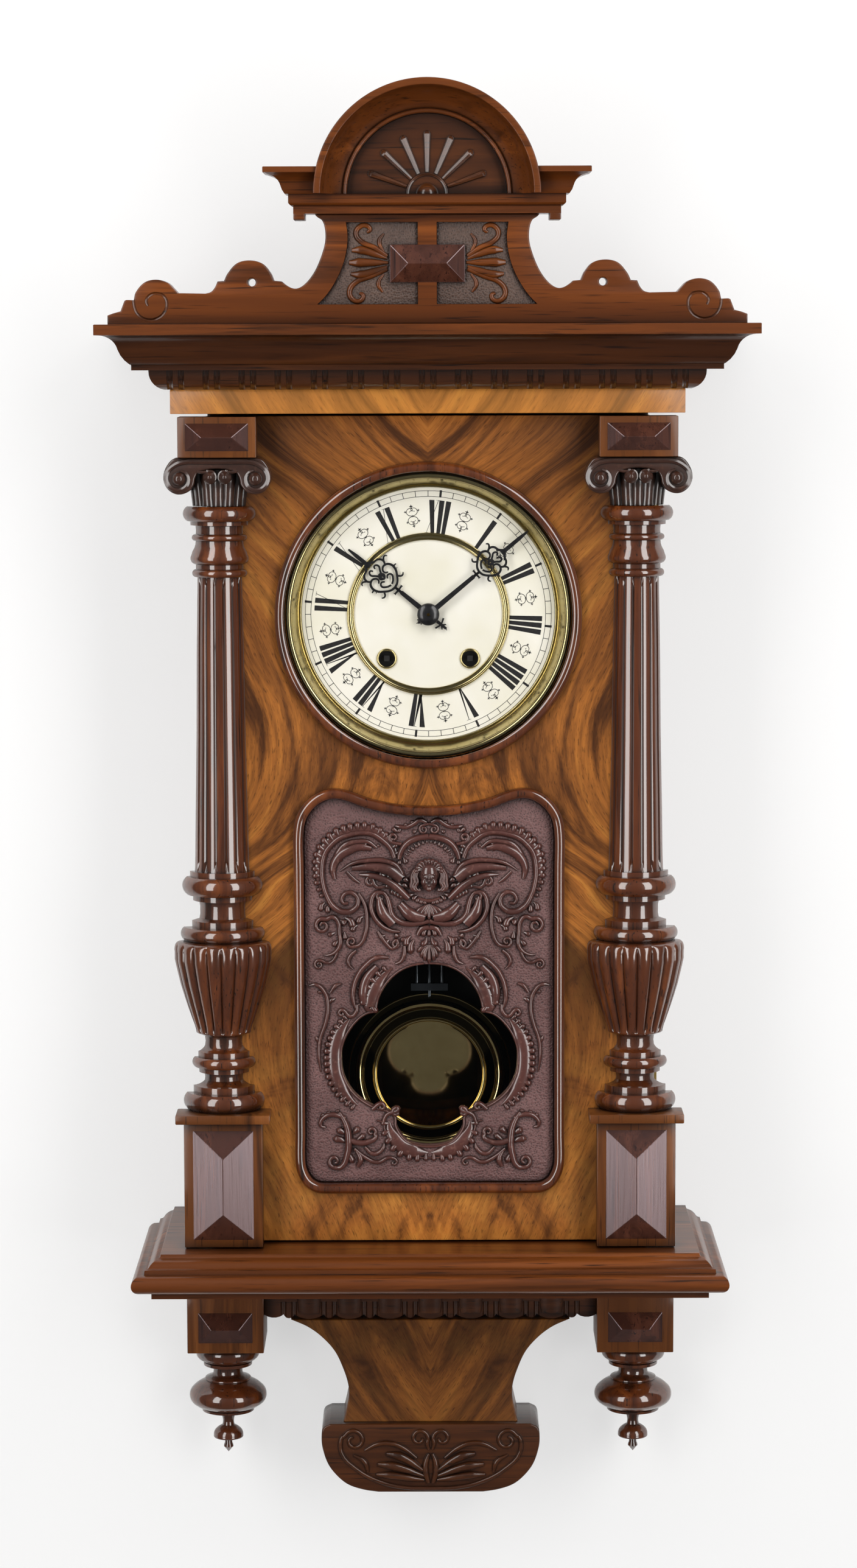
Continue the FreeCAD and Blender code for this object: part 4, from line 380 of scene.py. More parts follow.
MOULDING = walnut("moulding_walnut", tint("#804417"), tint("#5C2E0E"), tint("#2A1405"), 1.6, coat=0.5,
                  roughness=0.4)
TURNED = walnut("turned_walnut", tint("#7A4019"), tint("#50250D"), tint("#241005"), 1.6, coat=0.95,
                roughness=0.4, lacquer=0.08, along="z", polish=1.85)
BLOCK = walnut("block_walnut", tint("#5A3012"), tint("#40200C"), tint("#1E0F05"), 1.4, coat=0.8,
               roughness=0.42)
BLOCK_UPRIGHT = walnut("upright_walnut", tint("#7E4A20"), tint("#5C3212"), tint("#2E1707"), 1.2, 0.5, 0.42,
                       along="z")
FACET = walnut("facet_walnut", tint("#5C3628"), tint("#40241B"), tint("#22110D"), 1.4, 0.0, 0.24, lacquer=0.22,
               along="z", polish=1.85)
for socket, value in (("IOR", 1.9), ("Specular IOR Level", 0.5), ("Specular Tint", tint("#F6E4EA"))):
    FACET.node_tree.nodes["Principled BSDF"].inputs[socket].default_value = value
CASE_HALF_W, CASE_WALL, CASE_DEPTH, CASE_TOP_H, BASE_TOP_H = 147.5, 11.0, 93.5, 134.9, -427.0
dressed(PINE_FINISH, "back_board")
sides = []
for s in (-1, 1):
    inner, outer = sorted((s * (CASE_HALF_W - CASE_WALL), s * CASE_HALF_W))
    sides.append(block(inner, outer, 0, CASE_DEPTH, BASE_TOP_H, CASE_TOP_H, 0.6))
hung(joined(sides), "polished_case_sides", "case", BLOCK_UPRIGHT, "block_walnut", "case_sides")

steel = Finish("bright_steel", Metallic=1.0, Base_Color=tint("#A9A8A6"))
brushed = steel.noise(steel.mapped(steel.place(), (90, 900, 900)), 3.0, 3, 0.6)
STEEL = steel.feed(Roughness=brushed * 0.3 + 0.18, Normal=steel.bump(brushed, 0.00003, 0.4))
iron = Finish("black_iron", Base_Color=tint("#1C1B1A"), Specular_IOR_Level=0.4)
cast = iron.noise(iron.place(), 900.0, 3, 0.6)
IRON = iron.feed(Roughness=cast * 0.3 + 0.4, Normal=iron.bump(cast, 0.00015, 0.6))
dressed(STEEL, "hanger_plate")

# Movement. Two brass plates on riveted pillars with the going and striking trains between
# them, steel arbors and winding squares, the anchor and its crutch, the gong and its hammer.
movement = Finish("movement_brass", Metallic=1.0)
haze = movement.noise(movement.place(), 42.0, 4, 0.6)
scratches = movement.noise(movement.mapped(movement.place(), (1500, 120, 120)), 1.0, 2, 0.5)
MOVEMENT = movement.feed(
    Base_Color=movement.ramp(haze, (0.3, tint("#A98645")), (0.6, tint("#C5A35C")), (0.8, tint("#8E6C38"))),
    Roughness=scratches * 0.2 + 0.24, Normal=movement.bump(scratches, 0.00002, 0.4))
dressed(MOVEMENT, "movement_plates", "suspension_cock", "centre_arbor", "cannon_pinion", "minute_wheel",
        "hour_wheel", "third_arbor", "escape_arbor", "second_arbor", "barrel_time", "barrel_strike",
        "pin_wheel_arbor", "warning_arbor", "fly_arbor")
dressed(IRON, "movement_brackets", "gong_block")
dressed(STEEL, "click_time", "click_strike", "anchor_and_crutch", "gong_coil", "hammer")
dressed(IRON, "winding_arbor_time", "winding_arbor_strike")


# Pendulum. A gridiron of three blued steel rods between two bars, with a large spun brass bob:
# a slightly domed, mirror-bright middle inside two raised rings, and a flange with a rolled
# edge. The lands between the rings are painted dark: a painted reflection of the dark inside of the case.
def arcs(points, turn=9):
    """Points joined by lines and arcs: a third number is the arc's bulge, 1 for a half circle."""
    made = [Vector(points[0][:2])]
    for x, y, *bulge in points[1:]:
        start, end, bend = made[-1].copy(), Vector((x, y)), sum(bulge)
        if bend:
            angle, chord = 4 * math.atan(bend), end - start
            middle = (start + end) / 2 + Vector((-chord.y, chord.x)) * ((1 - bend * bend) / (4 * bend))
            steps = max(2, round(abs(math.degrees(angle)) / turn))
            for k in range(1, steps):
                made.append(middle + Matrix.Rotation(angle * k / steps, 2) @ (start - middle))
        made.append(end)
    return made


def drawn(lines, kind="POLY", closed=False, flat=False, **settings):
    """A curve of one or more lines, whose points are (place, half width), or (x, h) where it is flat."""
    curve = bpy.data.curves.new("line", "CURVE")
    curve.dimensions = "2D" if flat else "3D"
    for setting, value in settings.items():
        setattr(curve, setting, value)
    for line in lines:
        spline = curve.splines.new(kind)
        spline.use_cyclic_u = closed
        points = spline.bezier_points if kind == "BEZIER" else spline.points
        points.add(len(line) - 1)
        for given, point in zip(line, points):
            if flat:
                place, radius = Vector((given[0], given[1], 0)) * mm, 1
            else:
                place, radius = given
            point.co = place if kind == "BEZIER" else (*place, 1)
            point.radius = radius
            if kind == "BEZIER":
                corner = flat and len(given) > 2
                point.handle_left_type = point.handle_right_type = "VECTOR" if corner else "AUTO"
    piece = bpy.data.objects.new("line", curve)
    bpy.context.scene.collection.objects.link(piece)
    return piece


def meshed(piece):
    pick(piece)
    bpy.ops.object.convert(target="MESH")
    return bpy.context.object


def spun(profile, centre, axis="Z", steps=96, angle=360, along=Vector((1, 0, 0))):
    """A profile of (radius, along the axis), in mm, spun as on a lathe about an axis through centre."""
    out = Vector((0, 0, 1) if axis == "Z" else (0, -1, 0))
    piece = meshed(drawn([[(centre + along * (r * mm) + out * (a * mm), 1) for r, a in arcs(profile)]]))
    with shaping(piece):
        bpy.ops.mesh.spin(steps=steps, angle=-math.radians(angle), center=centre, axis=out)
        welded(0.01)
        if angle < 360:
            bpy.ops.mesh.select_all(action="DESELECT")
            bpy.ops.mesh.select_non_manifold()
            bpy.ops.mesh.edge_face_add()
            welded(0.01)
    return piece


brass = Finish("polished_brass", Metallic=1.0)
tarnish = brass.noise(brass.place(), 30.0, 5, 0.62, 0.4)
specks = brass.noise(brass.place(), 420.0, 2, 0.5)
BRASS = brass.feed(
    Base_Color=brass.mixed(brass.mask(specks, 0.72, 0.84), brass.ramp(
        tarnish, (0.25, tint("#C0B07A")), (0.55, tint("#D0C290")), (0.8, tint("#B0A068"))), tint("#8A7A48")),
    Roughness=tarnish * 0.08 + 0.15)
PENDULUM_DEPTH, BOB_H, BOB_R = 36.0, -324.5, 56.9
bob_brass = Finish("bob_brass", Metallic=1.0)
clouds = bob_brass.noise(bob_brass.place(), 14.0, 5, 0.6, 0.6)
from_axis = bob_brass.node("ShaderNodeVectorMath", {"operation": "LENGTH"}, {
    0: bob_brass.mapped(bob_brass.place(), (1, 0, 1), shift=(0, 0, -at(0, 0, BOB_H).z))}, "Value")
# Painted reflection: the lands between the rings are made dark.
dark_reflection_lands = bob_brass.ramp(
    from_axis * (1 / (BOB_R * mm)), (0.694, NONE), (0.702, FULL), (0.79, FULL), (0.806, NONE), (0.904, NONE),
    (0.92, FULL), (0.972, FULL), (0.982, NONE))
BOB_BRASS = bob_brass.feed(
    Base_Color=bob_brass.mixed(
        dark_reflection_lands, bob_brass.ramp(clouds, (0.3, tint("#DCC080")), (0.55, tint("#F4DC9C")), (0.75, tint("#CBAE68"))),
        tint("#2E2716")),
    Roughness=clouds * 0.08 + 0.06)
blued = Finish("blued_steel", Metallic=1.0)
temper = blued.noise(blued.place(), 50.0, 4, 0.5)
BLUED_STEEL = blued.feed(
    Base_Color=blued.ramp(temper, (0.3, tint("#666B70")), (0.7, tint("#4E5256"))),
    Roughness=temper * 0.1 + 0.14)
dressed(BLUED_STEEL, "pendulum_rods")
BOB_FRONT = [
    (0, 8.2), (36, 4.0, -0.058), (37.0, 3.6), (39.2, 3.6, -1), (39.6, 3.0), (45.5, 2.2), (46.5, 4.0, -0.3),
    (51.5, 4.0, -0.9), (52.5, 1.8, 0.2), (55.6, 1.4), (56.7, 0.4, -0.4), (56.7, -1.2), (54, -2.4), (45, -4.4),
    (20, -6.4), (0, -7.0)]
bob = spun(BOB_FRONT, at(0, PENDULUM_DEPTH, BOB_H), "Y", 128)
hung(bob, "spun_bob", "pendulum", BOB_BRASS, "polished_brass", "pendulum_bob")

# Dial. A cream enamelled plate with painted radial Roman hours, a thin minute track and a
# small scroll between hours, inside a coved brass surround; a thin brass ring divides it.
DIAL_DEPTH, DIAL_TURN = 97.4, 6.0
CREAM, CREAM_EDGE, PAINT_BLACK = tint("#FAF7EC"), tint("#EEEAD6"), tint("#131214")
enamel = Finish("dial_enamel", Roughness=0.3, Coat_Weight=0.3, Coat_Roughness=0.06)
bloom = enamel.noise(enamel.place(), 26.0, 3, 0.5)
ripple = enamel.noise(enamel.place(), 60.0, 2, 0.4)
ENAMEL = enamel.feed(
    Base_Color=enamel.ramp(bloom, (0.3, CREAM), (0.75, CREAM_EDGE)), Normal=enamel.bump(ripple, 0.0001, 0.15))
dressed(ENAMEL, "dial_plate")
print_black = Finish("dial_black", Base_Color=PAINT_BLACK, Roughness=0.45)
worn = print_black.noise(print_black.place(), 900.0, 2, 0.5)
DIAL_BLACK = print_black.feed(Base_Color=print_black.ramp(worn, (0.4, PAINT_BLACK), (0.8, tint("#2A2826"))))


def stood(piece, depth, thick=0.0):
    """A flat drawing is made a mesh and stood up facing the front, its back at that depth."""
    piece = meshed(piece)
    piece.rotation_euler.x = math.pi / 2
    piece.location = at(0, depth + thick / 2, 0)
    settle(piece)
    return piece


def dial_at(degrees, r):
    a = math.radians(degrees)
    return r * math.sin(a), r * math.cos(a)


def dial_bar(degrees, r0, r1, u0, u1, w0, w1):
    """A bar of the dial's printing: across and wide in mm at the numerals' middle radius."""
    k = math.degrees(1 / HOUR_MID_R)
    return [dial_at(degrees + (u + side * w / 2) * k, r) for u, w, r, side in (
        (u0, w0, r0, -1), (u1, w1, r1, -1), (u1, w1, r1, 1), (u0, w0, r0, 1))]


HOUR_IN_R, HOUR_OUT_R, HOUR_MID_R, BAR_W, HAIR, INK = 54.6, 76.6, 65.5, 3.0, 0.34, 0.04
TRACK_IN_R, TRACK_OUT_R, SPRIG_R, SPRIG_BEND = 78.9, 82.7, 66.4, 66.0
SERIF, SERIF_W, MARK_W = 0.25, 2.6, 1.25
LETTERS = {
    "I": (3.95, [(0, 0, BAR_W, BAR_W)], []),
    "V": (6.6, [(1.1, -1.2, 0.6, 3.1)], [(1.3, 3.5)]),
    "X": (6.4, [(0.5, -0.7, BAR_W, BAR_W)], [(-4.4, 3.2)]),
}
HOURS = ("XII", "I", "II", "III", "IIII", "V", "VI", "VII", "VIII", "IX", "X", "XI")
bars, hairs = [], []
for k, hour in enumerate(HOURS):
    u = -sum(LETTERS[letter][0] for letter in hour) / 2
    degrees = 30 * k + DIAL_TURN
    for letter in hour:
        wide, thick, thin = LETTERS[letter]
        u += wide / 2
        bars += [dial_bar(degrees, HOUR_IN_R, HOUR_OUT_R, u + a, u + b, w0, w1) for a, b, w0, w1 in thick]
        for a, b in thin:
            hairs.append(dial_bar(degrees, HOUR_IN_R, HOUR_OUT_R, u + a, u + b, HAIR, HAIR))
            hairs += [dial_bar(degrees, r, r + SERIF, u + c, u + c, SERIF_W, SERIF_W)
                      for r, c in ((HOUR_IN_R, a), (HOUR_OUT_R - SERIF, b))]
        u += wide / 2
for k in range(60):
    if k % 5 == 0:
        bars.append(dial_bar(6 * k + DIAL_TURN, TRACK_IN_R - 0.3, TRACK_OUT_R + 0.7, 0, 0, MARK_W, MARK_W))
    else:
        hairs.append(dial_bar(6 * k + DIAL_TURN, TRACK_IN_R, TRACK_OUT_R, 0, 0, HAIR, HAIR))


def printed(shapes):
    return stood(drawn(shapes, closed=True, flat=True, fill_mode="BOTH", extrude=INK / 2 * mm), DIAL_DEPTH, INK)


prints = [printed(bars), printed(hairs)]
for r in (TRACK_IN_R, TRACK_OUT_R):
    ring = [(r - HAIR / 2, 0.0), (r - HAIR / 2, 0.05), (r + HAIR / 2, 0.05), (r + HAIR / 2, 0.0)]
    prints.append(spun(ring, at(0, DIAL_DEPTH, 0), "Y", 120))
SCROLLS = [
    [(s * 0.9, -3.4), (-s * 0.5, -4.6), (s * 1.6, -5.4), (s * 3.4, -3.6), (s * 2.8, -1.3), (0, 0),
     (-s * 2.8, 1.3), (-s * 3.4, 3.6), (-s * 1.6, 5.4), (s * 0.5, 4.6), (-s * 0.9, 3.4)] for s in (-1, 1)]
STARS = [(0, 6.6, 1.0), (0, -6.6, 1.0), (0, 0, 0.7)]
STARS += [(s * u, t * v, size) for u, v, size in ((4.2, 3.6, 0.75), (1.5, 3.2, 0.4))
          for t in (1, -1) for s in (1, -1)]
sprigs, stars = [], []
for k in range(12):
    degrees = 30 * k + 15 + DIAL_TURN
    for scroll in SCROLLS:
        line = [dial_at(degrees + math.degrees(u / SPRIG_BEND), SPRIG_R + v) for u, v in scroll]
        sprigs.append([(at(x, DIAL_DEPTH, h), 1) for x, h in line])
    for u, v, size in STARS:
        star = []
        for point in range(8):
            a, reach = math.pi * point / 4, size * (1.4 if point % 2 == 0 else 0.55)
            star.append(dial_at(degrees + math.degrees((u + reach * math.sin(a)) / SPRIG_BEND),
                                SPRIG_R + v + reach * math.cos(a)))
        stars.append(star)
prints.append(printed(stars))
prints.append(meshed(drawn(sprigs, "BEZIER", bevel_depth=0.22 * mm, bevel_resolution=0, resolution_u=4)))
hung(joined(prints), "dial_printing", "case", DIAL_BLACK, "dial_enamel")

SURROUND = [
    (85.2, 96.0), (85.2, 98.3), (86.2, 98.9, -0.5), (87.0, 98.3), (92.6, 110.6, 0.25), (91.6, 110.8),
    (92.0, 112.0, -0.3), (94.6, 112.5, -0.35), (96.0, 110.9, -0.35), (96.0, 108.1), (93.2, 108.1), (90.0, 96.0)]
surround = spun(SURROUND, at(0, 0, 0), "Y", 160)
hung(surround, "spun_dial_surround", "case", BRASS, "polished_brass", "dial_surround")
INNER_RING = [
    (49.8, 97.4), (49.8, 98.3), (50.6, 98.5, -0.5), (51.0, 98.0), (52.9, 98.2, 0.3), (53.3, 98.7),
    (54.7, 98.3, -0.8), (54.7, 97.4)]
rings = [spun(INNER_RING, at(0, 0, 0), "Y", 128)]
for x in (-28, 28):
    rings.append(spun([(5.3, 96.0), (5.3, 98.2), (6.0, 99.0, -0.4), (6.9, 97.9, -0.4), (6.9, 97.4)],
                      at(x, 0, -30), "Y", 48))
hung(joined(rings), "turned_dial_rings", "case", BRASS, "polished_brass", "dial_rings")


# Hands. Blackened steel, sawn through with scrolls and rounded by file: the minute hand above
# the hour hand, with a domed cap over the cannon. Both have a short tail with a cross stroke.
def carved(strokes, ground, rise, steps=6, round_steps=2):
    """Ridges in relief: points are (x, h, half width) in mm; rise is a ridge's height over its half width."""
    lines = [[(at(x, ground, h), w) for x, h, w in stroke] for stroke in strokes]
    piece = meshed(drawn(lines, "BEZIER", bevel_depth=mm, bevel_resolution=round_steps,
                         resolution_u=steps, use_fill_caps=True))
    with shaping(piece):
        bpy.ops.transform.resize(value=(1, rise, 1), center_override=at(0, ground, 0))
    return piece


HAND_WEIGHT = 1.55


def sawn_hand(head_at, size, reach, degrees, depth, tail):
    """A hand whose pierced head starts that far out, turned clockwise from twelve."""
    half = [
        [(0, 0, 0.7), (0, 5, 0.6)], [(0, 2.0, 0.5), (3.0, 2.2, 0.45)], [(3.0, 2.2, 0.75), (3.4, 2.2, 0.7)],
        [(0, 4.6, 0.6), (3.0, 5.4, 0.55), (6.2, 8.2, 0.55), (8.6, 11.6, 0.6), (8.8, 15.2, 0.6),
         (6.6, 17.6, 0.55), (3.8, 17.2, 0.5), (2.9, 15.0, 0.45), (4.4, 13.4, 0.4)],
        [(0.4, 7.2, 0.5), (3.0, 8.6, 0.5), (4.6, 11.2, 0.5), (3.0, 12.6, 0.45), (1.2, 11.4, 0.4)],
        [(6.6, 17.6, 0.5), (7.8, 20.0, 0.55), (6.4, 22.8, 0.55), (3.2, 24.0, 0.55), (0, 26.6, 0.9)],
        [(0, 14.6, 0.6), (2.0, 17.6, 0.5), (3.6, 20.4, 0.5), (2.0, 22.0, 0.45), (0.8, 20.6, 0.4)],
        [(8.8, 13.4, 0.5), (11.2, 13.0, 0.3)], [(7.6, 19.6, 0.5), (10.4, 21.2, 0.45), (11.6, 20.0, 0.3)],
        [(6.0, 8.0, 0.5), (8.2, 5.8, 0.45), (10.0, 6.6, 0.3)], [(8.8, 11.2, 0.9), (9.0, 11.6, 0.9)],
        [(7.8, 20.0, 0.8), (8.0, 20.4, 0.8)], [(3.2, 24.0, 0.9), (3.4, 24.3, 0.9)],
        [(0, 12.4, 0.4), (1.3, 14.6, 0.9), (0, 17.0, 0.4)]]
    strokes = [[(side * u * size, head_at + v * size, w * HAND_WEIGHT) for u, v, w in line]
               for line in half for side in (-1, 1)]
    strokes.append([(0, 3, 2.1), (0, head_at, 1.6)])
    strokes.append([(0, head_at + 24 * size, 1.7), (0, reach - 8, 1.5), (0, reach - 0.8, 0.75)])
    spur = [[(0, 0, 1.6), (0, -tail, 1.0)],
            [(-4.4, -tail * 0.62, 0.7), (0, -tail * 0.7, 0.6), (4.4, -tail * 0.62, 0.7)],
            [(-2.2, -tail * 0.88, 0.5), (0, -tail * 0.78, 0.7), (2.2, -tail * 0.88, 0.5)],
            [(-0.2, -tail, 1.3), (0.2, -tail - 0.3, 1.2)]]
    a = math.radians(degrees)
    turned = [[(u * math.cos(a) + v * math.sin(a), v * math.cos(a) - u * math.sin(a), w) for u, v, w in line]
              for line in strokes + spur]
    return carved(turned, depth, rise=0.24, steps=5, round_steps=1)


hands = Finish("black_hands", Roughness=0.3, Coat_Weight=0.5, Coat_Roughness=0.12)
sheen = hands.noise(hands.place(), 500.0, 3, 0.5)
BLACK_HANDS = hands.feed(Base_Color=hands.ramp(sheen, (0.35, tint("#0D0D0F")), (0.75, tint("#232225"))),
                         Normal=hands.bump(sheen, 0.00004, 0.4))
HOUR_HAND_D, MINUTE_HAND_D, HAND_T = 99.2, 102.2, 0.8
hour_hand = [sawn_hand(head_at=23.4, size=1.14, reach=69.8, degrees=309.2, depth=HOUR_HAND_D + HAND_T / 2,
                       tail=15.5),
             spun([(3.4, 99.2), (7.2, 99.2), (7.4, 99.6, 0.4), (7.2, 100.0, 0.4), (3.4, 100.0)], at(0, 0, 0),
                  "Y", 64)]
hung(joined(hour_hand), "sawn_hour_hand", "hour", BLACK_HANDS, "black_hands", "hour_hand")
domed_cap = spun([(1.1, 102.2), (7.2, 102.2), (7.4, 103.2, 0.3), (6.6, 104.2, 0.25), (3.0, 105.5, 0.12),
                  (1.1, 105.6)], at(0, 0, 0), "Y", 64)
minute_hand = [sawn_hand(head_at=39.9, size=1.0, reach=87.6, degrees=50.2, depth=MINUTE_HAND_D + HAND_T / 2,
                         tail=9.0), domed_cap]
hung(joined(minute_hand), "sawn_minute_hand", "minute", BLACK_HANDS, "black_hands", "minute_hand")


# Door. A veneered board with a round opening for the dial and a shaped one for the pendulum,
# book-matched about the middle, under french polish.
def flowing(points, steps=8, closed=True):
    """A smooth line through (x, h) points; a third number marks a corner."""
    ways, count, made = [], len(points), []
    for k, point in enumerate(points):
        before, after = Vector(points[k - 1][:2]), Vector(points[(k + 1) % count][:2])
        if not closed and k in (0, count - 1):
            before, after = (Vector(point[:2]), after) if k == 0 else (before, Vector(point[:2]))
        ways.append(None if len(point) > 2 else (after - before).normalized())
    for k in range(count if closed else count - 1):
        start, end = Vector(points[k][:2]), Vector(points[(k + 1) % count][:2])
        reach = (end - start).length
        leave, arrive = ways[k], ways[(k + 1) % count]
        leave = (leave or (end - start).normalized()) * reach
        arrive = (arrive or (end - start).normalized()) * reach
        straight = ways[k] is None and ways[(k + 1) % count] is None
        for step in range(1 if straight else steps):
            t = step / steps
            made.append(start * (2 * t ** 3 - 3 * t ** 2 + 1) + leave * (t ** 3 - 2 * t ** 2 + t)
                        + end * (3 * t ** 2 - 2 * t ** 3) + arrive * (t ** 3 - t ** 2))
    if not closed:
        made.append(Vector(points[-1][:2]))
    return made


def shifted(line, by):
    """A closed outline moved inwards by a width in mm, or outwards where it is negative."""
    area = sum(a.cross(b) for a, b in zip(line, line[1:] + line[:1]))
    made = []
    for k, point in enumerate(line):
        onward, came = line[(k + 1) % len(line)] - point, point - line[k - 1]
        way = (onward.normalized() + came.normalized()).normalized()
        made.append(point + Vector((-way.y, way.x)) * (by if area > 0 else -by))
    return made


def both(half):
    """The whole outline from its right half, which runs from the centre line back to it."""
    inner = [p for p in half if abs(p[0]) > 1e-6]
    turned = [(-p[0], *p[1:]) for p in reversed(inner)]
    return [*half, *turned]


def ringed(r, x=0.0, h=0.0, steps=120):
    """A round outline."""
    return [Vector((x + r * math.cos(2 * math.pi * k / steps), h + r * math.sin(2 * math.pi * k / steps)))
            for k in range(steps)]


def from_outline(outlines, rear, front, edge, **settings):
    """Outlines drawn out from one depth to another, with an edge of that width in mm."""
    piece = drawn(outlines, closed=True, flat=True, extrude=((front - rear) / 2 - edge) * mm,
                  bevel_depth=edge * mm, **settings)
    piece = stood(piece, rear, front - rear)
    with shaping(piece):
        welded(0.005)
    return piece


def sawn(outlines, rear, front, ease=0.5):
    """A board sawn to an outline, with openings, from one depth to another, its arrises eased."""
    return from_outline(outlines, rear, front, ease, fill_mode="BOTH", bevel_resolution=2, offset=-ease * mm)


def beading(outline, width, front, sunk):
    """A rounded moulding of that width, bent round a closed outline, its back let in."""
    return from_outline([outline], sunk, front, width / 2, fill_mode="NONE", bevel_resolution=5)


DOOR_REAR, DOOR_FRONT, DOOR_TOP_H, DOOR_LOW_H, DOOR_HOLE_R = 94.0, 112.0, 133.0, -425.8, 99.2
FRAME_HALF_W, FRAME_TOP_H, FRAME_HIGH, FRAME_W, FRAME_FRONT = 91.2, -115.9, 276.8, 6.9, 118.0
FRAME_SHARES = [
    (0, -0.043), (0.22, -0.039), (0.44, -0.024), (0.57, -0.008), (0.68, 0), (0.79, -0.006), (0.9, -0.03),
    (0.975, -0.067), (1.0, -0.112), (1.0, -0.2), (1.0, -0.85), (1.0, -0.925), (0.975, -0.957), (0.925, -0.982),
    (0.85, -0.997), (0.77, -1.0), (0.6, -1.0), (0.3, -1.0)]
OPENING_HALF_W, OPENING_TOP_H, OPENING_HIGH = 59.3, -236.2, 124.4
OPENING_SHARES = [
    (0, 0), (0.24, -0.019), (0.43, -0.079), (0.556, -0.167), (0.607, -0.26, 1), (0.76, -0.288), (0.9, -0.36),
    (0.98, -0.44), (1.0, -0.51), (0.975, -0.61), (0.86, -0.706), (0.67, -0.774), (0.455, -0.807, 1),
    (0.385, -0.84), (0.37, -0.9), (0.26, -0.971), (0.12, -0.995), (0, -1.0)]
frame_line = flowing(both([(x * FRAME_HALF_W, FRAME_TOP_H + h * FRAME_HIGH, *c) for x, h, *c in FRAME_SHARES]))
opening_line = flowing(both(
    [(x * OPENING_HALF_W, OPENING_TOP_H + h * OPENING_HIGH, *c) for x, h, *c in OPENING_SHARES]))

veneer = Finish("veneer_walnut", Coat_Weight=0.55, Coat_Roughness=0.14, Roughness=0.42, Specular_IOR_Level=0.15)
split = veneer.node("ShaderNodeSeparateXYZ", {}, {0: veneer.place()})
across = Tone(veneer, split.socket.node.outputs["X"])
height = Tone(veneer, split.socket.node.outputs["Z"])
from_middle = abs(across)
up_the_clock = (height + 0.78) * 1.02
sweep = veneer.node("ShaderNodeFloatCurve", {}, {"Value": up_the_clock})
sweep_curve = sweep.socket.node.mapping.curves[0]
SWEEP = [
    (0.0, 0.75), (0.06, 0.56), (0.13, 0.44), (0.21, 0.34), (0.342, 0.22), (0.435, 0.4), (0.529, 0.62),
    (0.604, 0.56), (0.698, 0.34), (0.81, 0.05), (1.0, 0.0)]
sweep_curve.points[0].location, sweep_curve.points[-1].location = SWEEP[0], SWEEP[-1]
for place in SWEEP[1:-1]:
    sweep_curve.points.new(*place)
sweep.socket.node.mapping.update()
drift = from_middle + sweep * 0.32
flow = veneer.node("ShaderNodeCombineXYZ", {}, {0: drift, 1: 0.0, 2: height})
broad = veneer.noise(veneer.mapped(flow, (30, 1, 6.0)), 1.0, 6, 0.62, 1.3)
fine = veneer.noise(veneer.mapped(flow, (230, 1, 26)), 1.0, 5, 0.65, 0.5)
matched = veneer.node("ShaderNodeCombineXYZ", {}, {0: from_middle, 1: 0.0, 2: height})
burr = veneer.noise(veneer.mapped(matched, (9, 1, 7)), 1.0, 6, 0.6, 2.2)
pore = veneer.noise(veneer.mapped(flow, (1300, 1, 170)), 1.0, 2, 0.5)
GOLD, HONEY, TAN, UMBER, SMOKE = (tint(c) for c in ("#AC6A2C", "#C6863A", "#8E5624", "#522E12", "#241106"))
streaks = veneer.ramp(broad, (0.3, SMOKE), (0.41, UMBER), (0.5, TAN), (0.58, GOLD), (0.74, HONEY))
swirl = veneer.ramp(burr, (0.26, SMOKE), (0.36, UMBER), (0.43, GOLD), (0.56, HONEY))
NECK_BELOW_Z, FRIEZE_ABOVE_Z = -0.62, -0.031
on_neck = veneer.math("LESS_THAN", height, NECK_BELOW_Z)
on_frieze = veneer.math("GREATER_THAN", height, FRIEZE_ABOVE_Z)
burred = veneer.mask(up_the_clock, 0.454, 0.155) * (0.75 - on_neck * 0.55)
ground = veneer.mixed(burred, streaks, swirl)
ground = veneer.mixed(veneer.mask(fine, 0.58, 0.34) * 0.55, ground, UMBER)
shade = veneer.mixed(veneer.mask(pore, 0.58, 0.7) * 0.7, ground, SMOKE)
# Painted shade: darker towards the sides beside the columns, and more so towards the top.
outer = veneer.mask(from_middle, 0.03, 0.115) * (veneer.mask(height + 0.4, 0.2, 0.36) * 0.7 + 0.35)
shade = veneer.mixed(outer * (1 - on_frieze), shade, veneer.mixed(0.72, shade, SMOKE))
shade = veneer.mixed(on_frieze * 0.35, shade, HONEY)
# The neck is darkened: painted shade under the base moulding.
shade = veneer.mixed(on_neck * 0.48, shade, SMOKE)
VENEER = veneer.feed(Base_Color=shade, Normal=veneer.bump(pore, 0.0001, 0.4))

door_edge = [(-CASE_HALF_W, DOOR_LOW_H), (CASE_HALF_W, DOOR_LOW_H), (CASE_HALF_W, DOOR_TOP_H),
             (-CASE_HALF_W, DOOR_TOP_H)]
door_holes = [ringed(DOOR_HOLE_R, steps=160), shifted(frame_line, FRAME_W / 2)]
door = sawn([door_edge, *door_holes], DOOR_REAR, DOOR_FRONT, 0.6)
hung(door, "veneered_door", "door", VENEER, "veneer_walnut", "door_panel")

# Dial bezel. A turned walnut ring glued round the opening, rounded outside and hollowed
# inside, that holds the flat glass in a rebate.
RING = [
    (96.3, 115.1), (96.3, 117.2), (97.0, 118.4, -0.3), (99.4, 119.0, -0.15), (100.6, 118.6, -0.1),
    (102.6, 115.6, -0.3), (103.0, 113.4), (103.0, 112.0), (98.9, 112.0), (98.9, 115.1)]
hung(spun(RING, at(0, 0, 0), "Y", 160), "turned_dial_bezel", "door", TURNED, "moulding_walnut", "ring_moulding")

glass = Finish("clear_glass", Base_Color=tint("#0E1010"), Roughness=0.02, Alpha=0.06, Specular_IOR_Level=0.6)
smear = glass.noise(glass.place(), 8.0, 2, 0.5)
GLASS = glass.feed(Roughness=smear * 0.06 + 0.01)
dressed(GLASS, "dial_glass", "pendulum_glass")

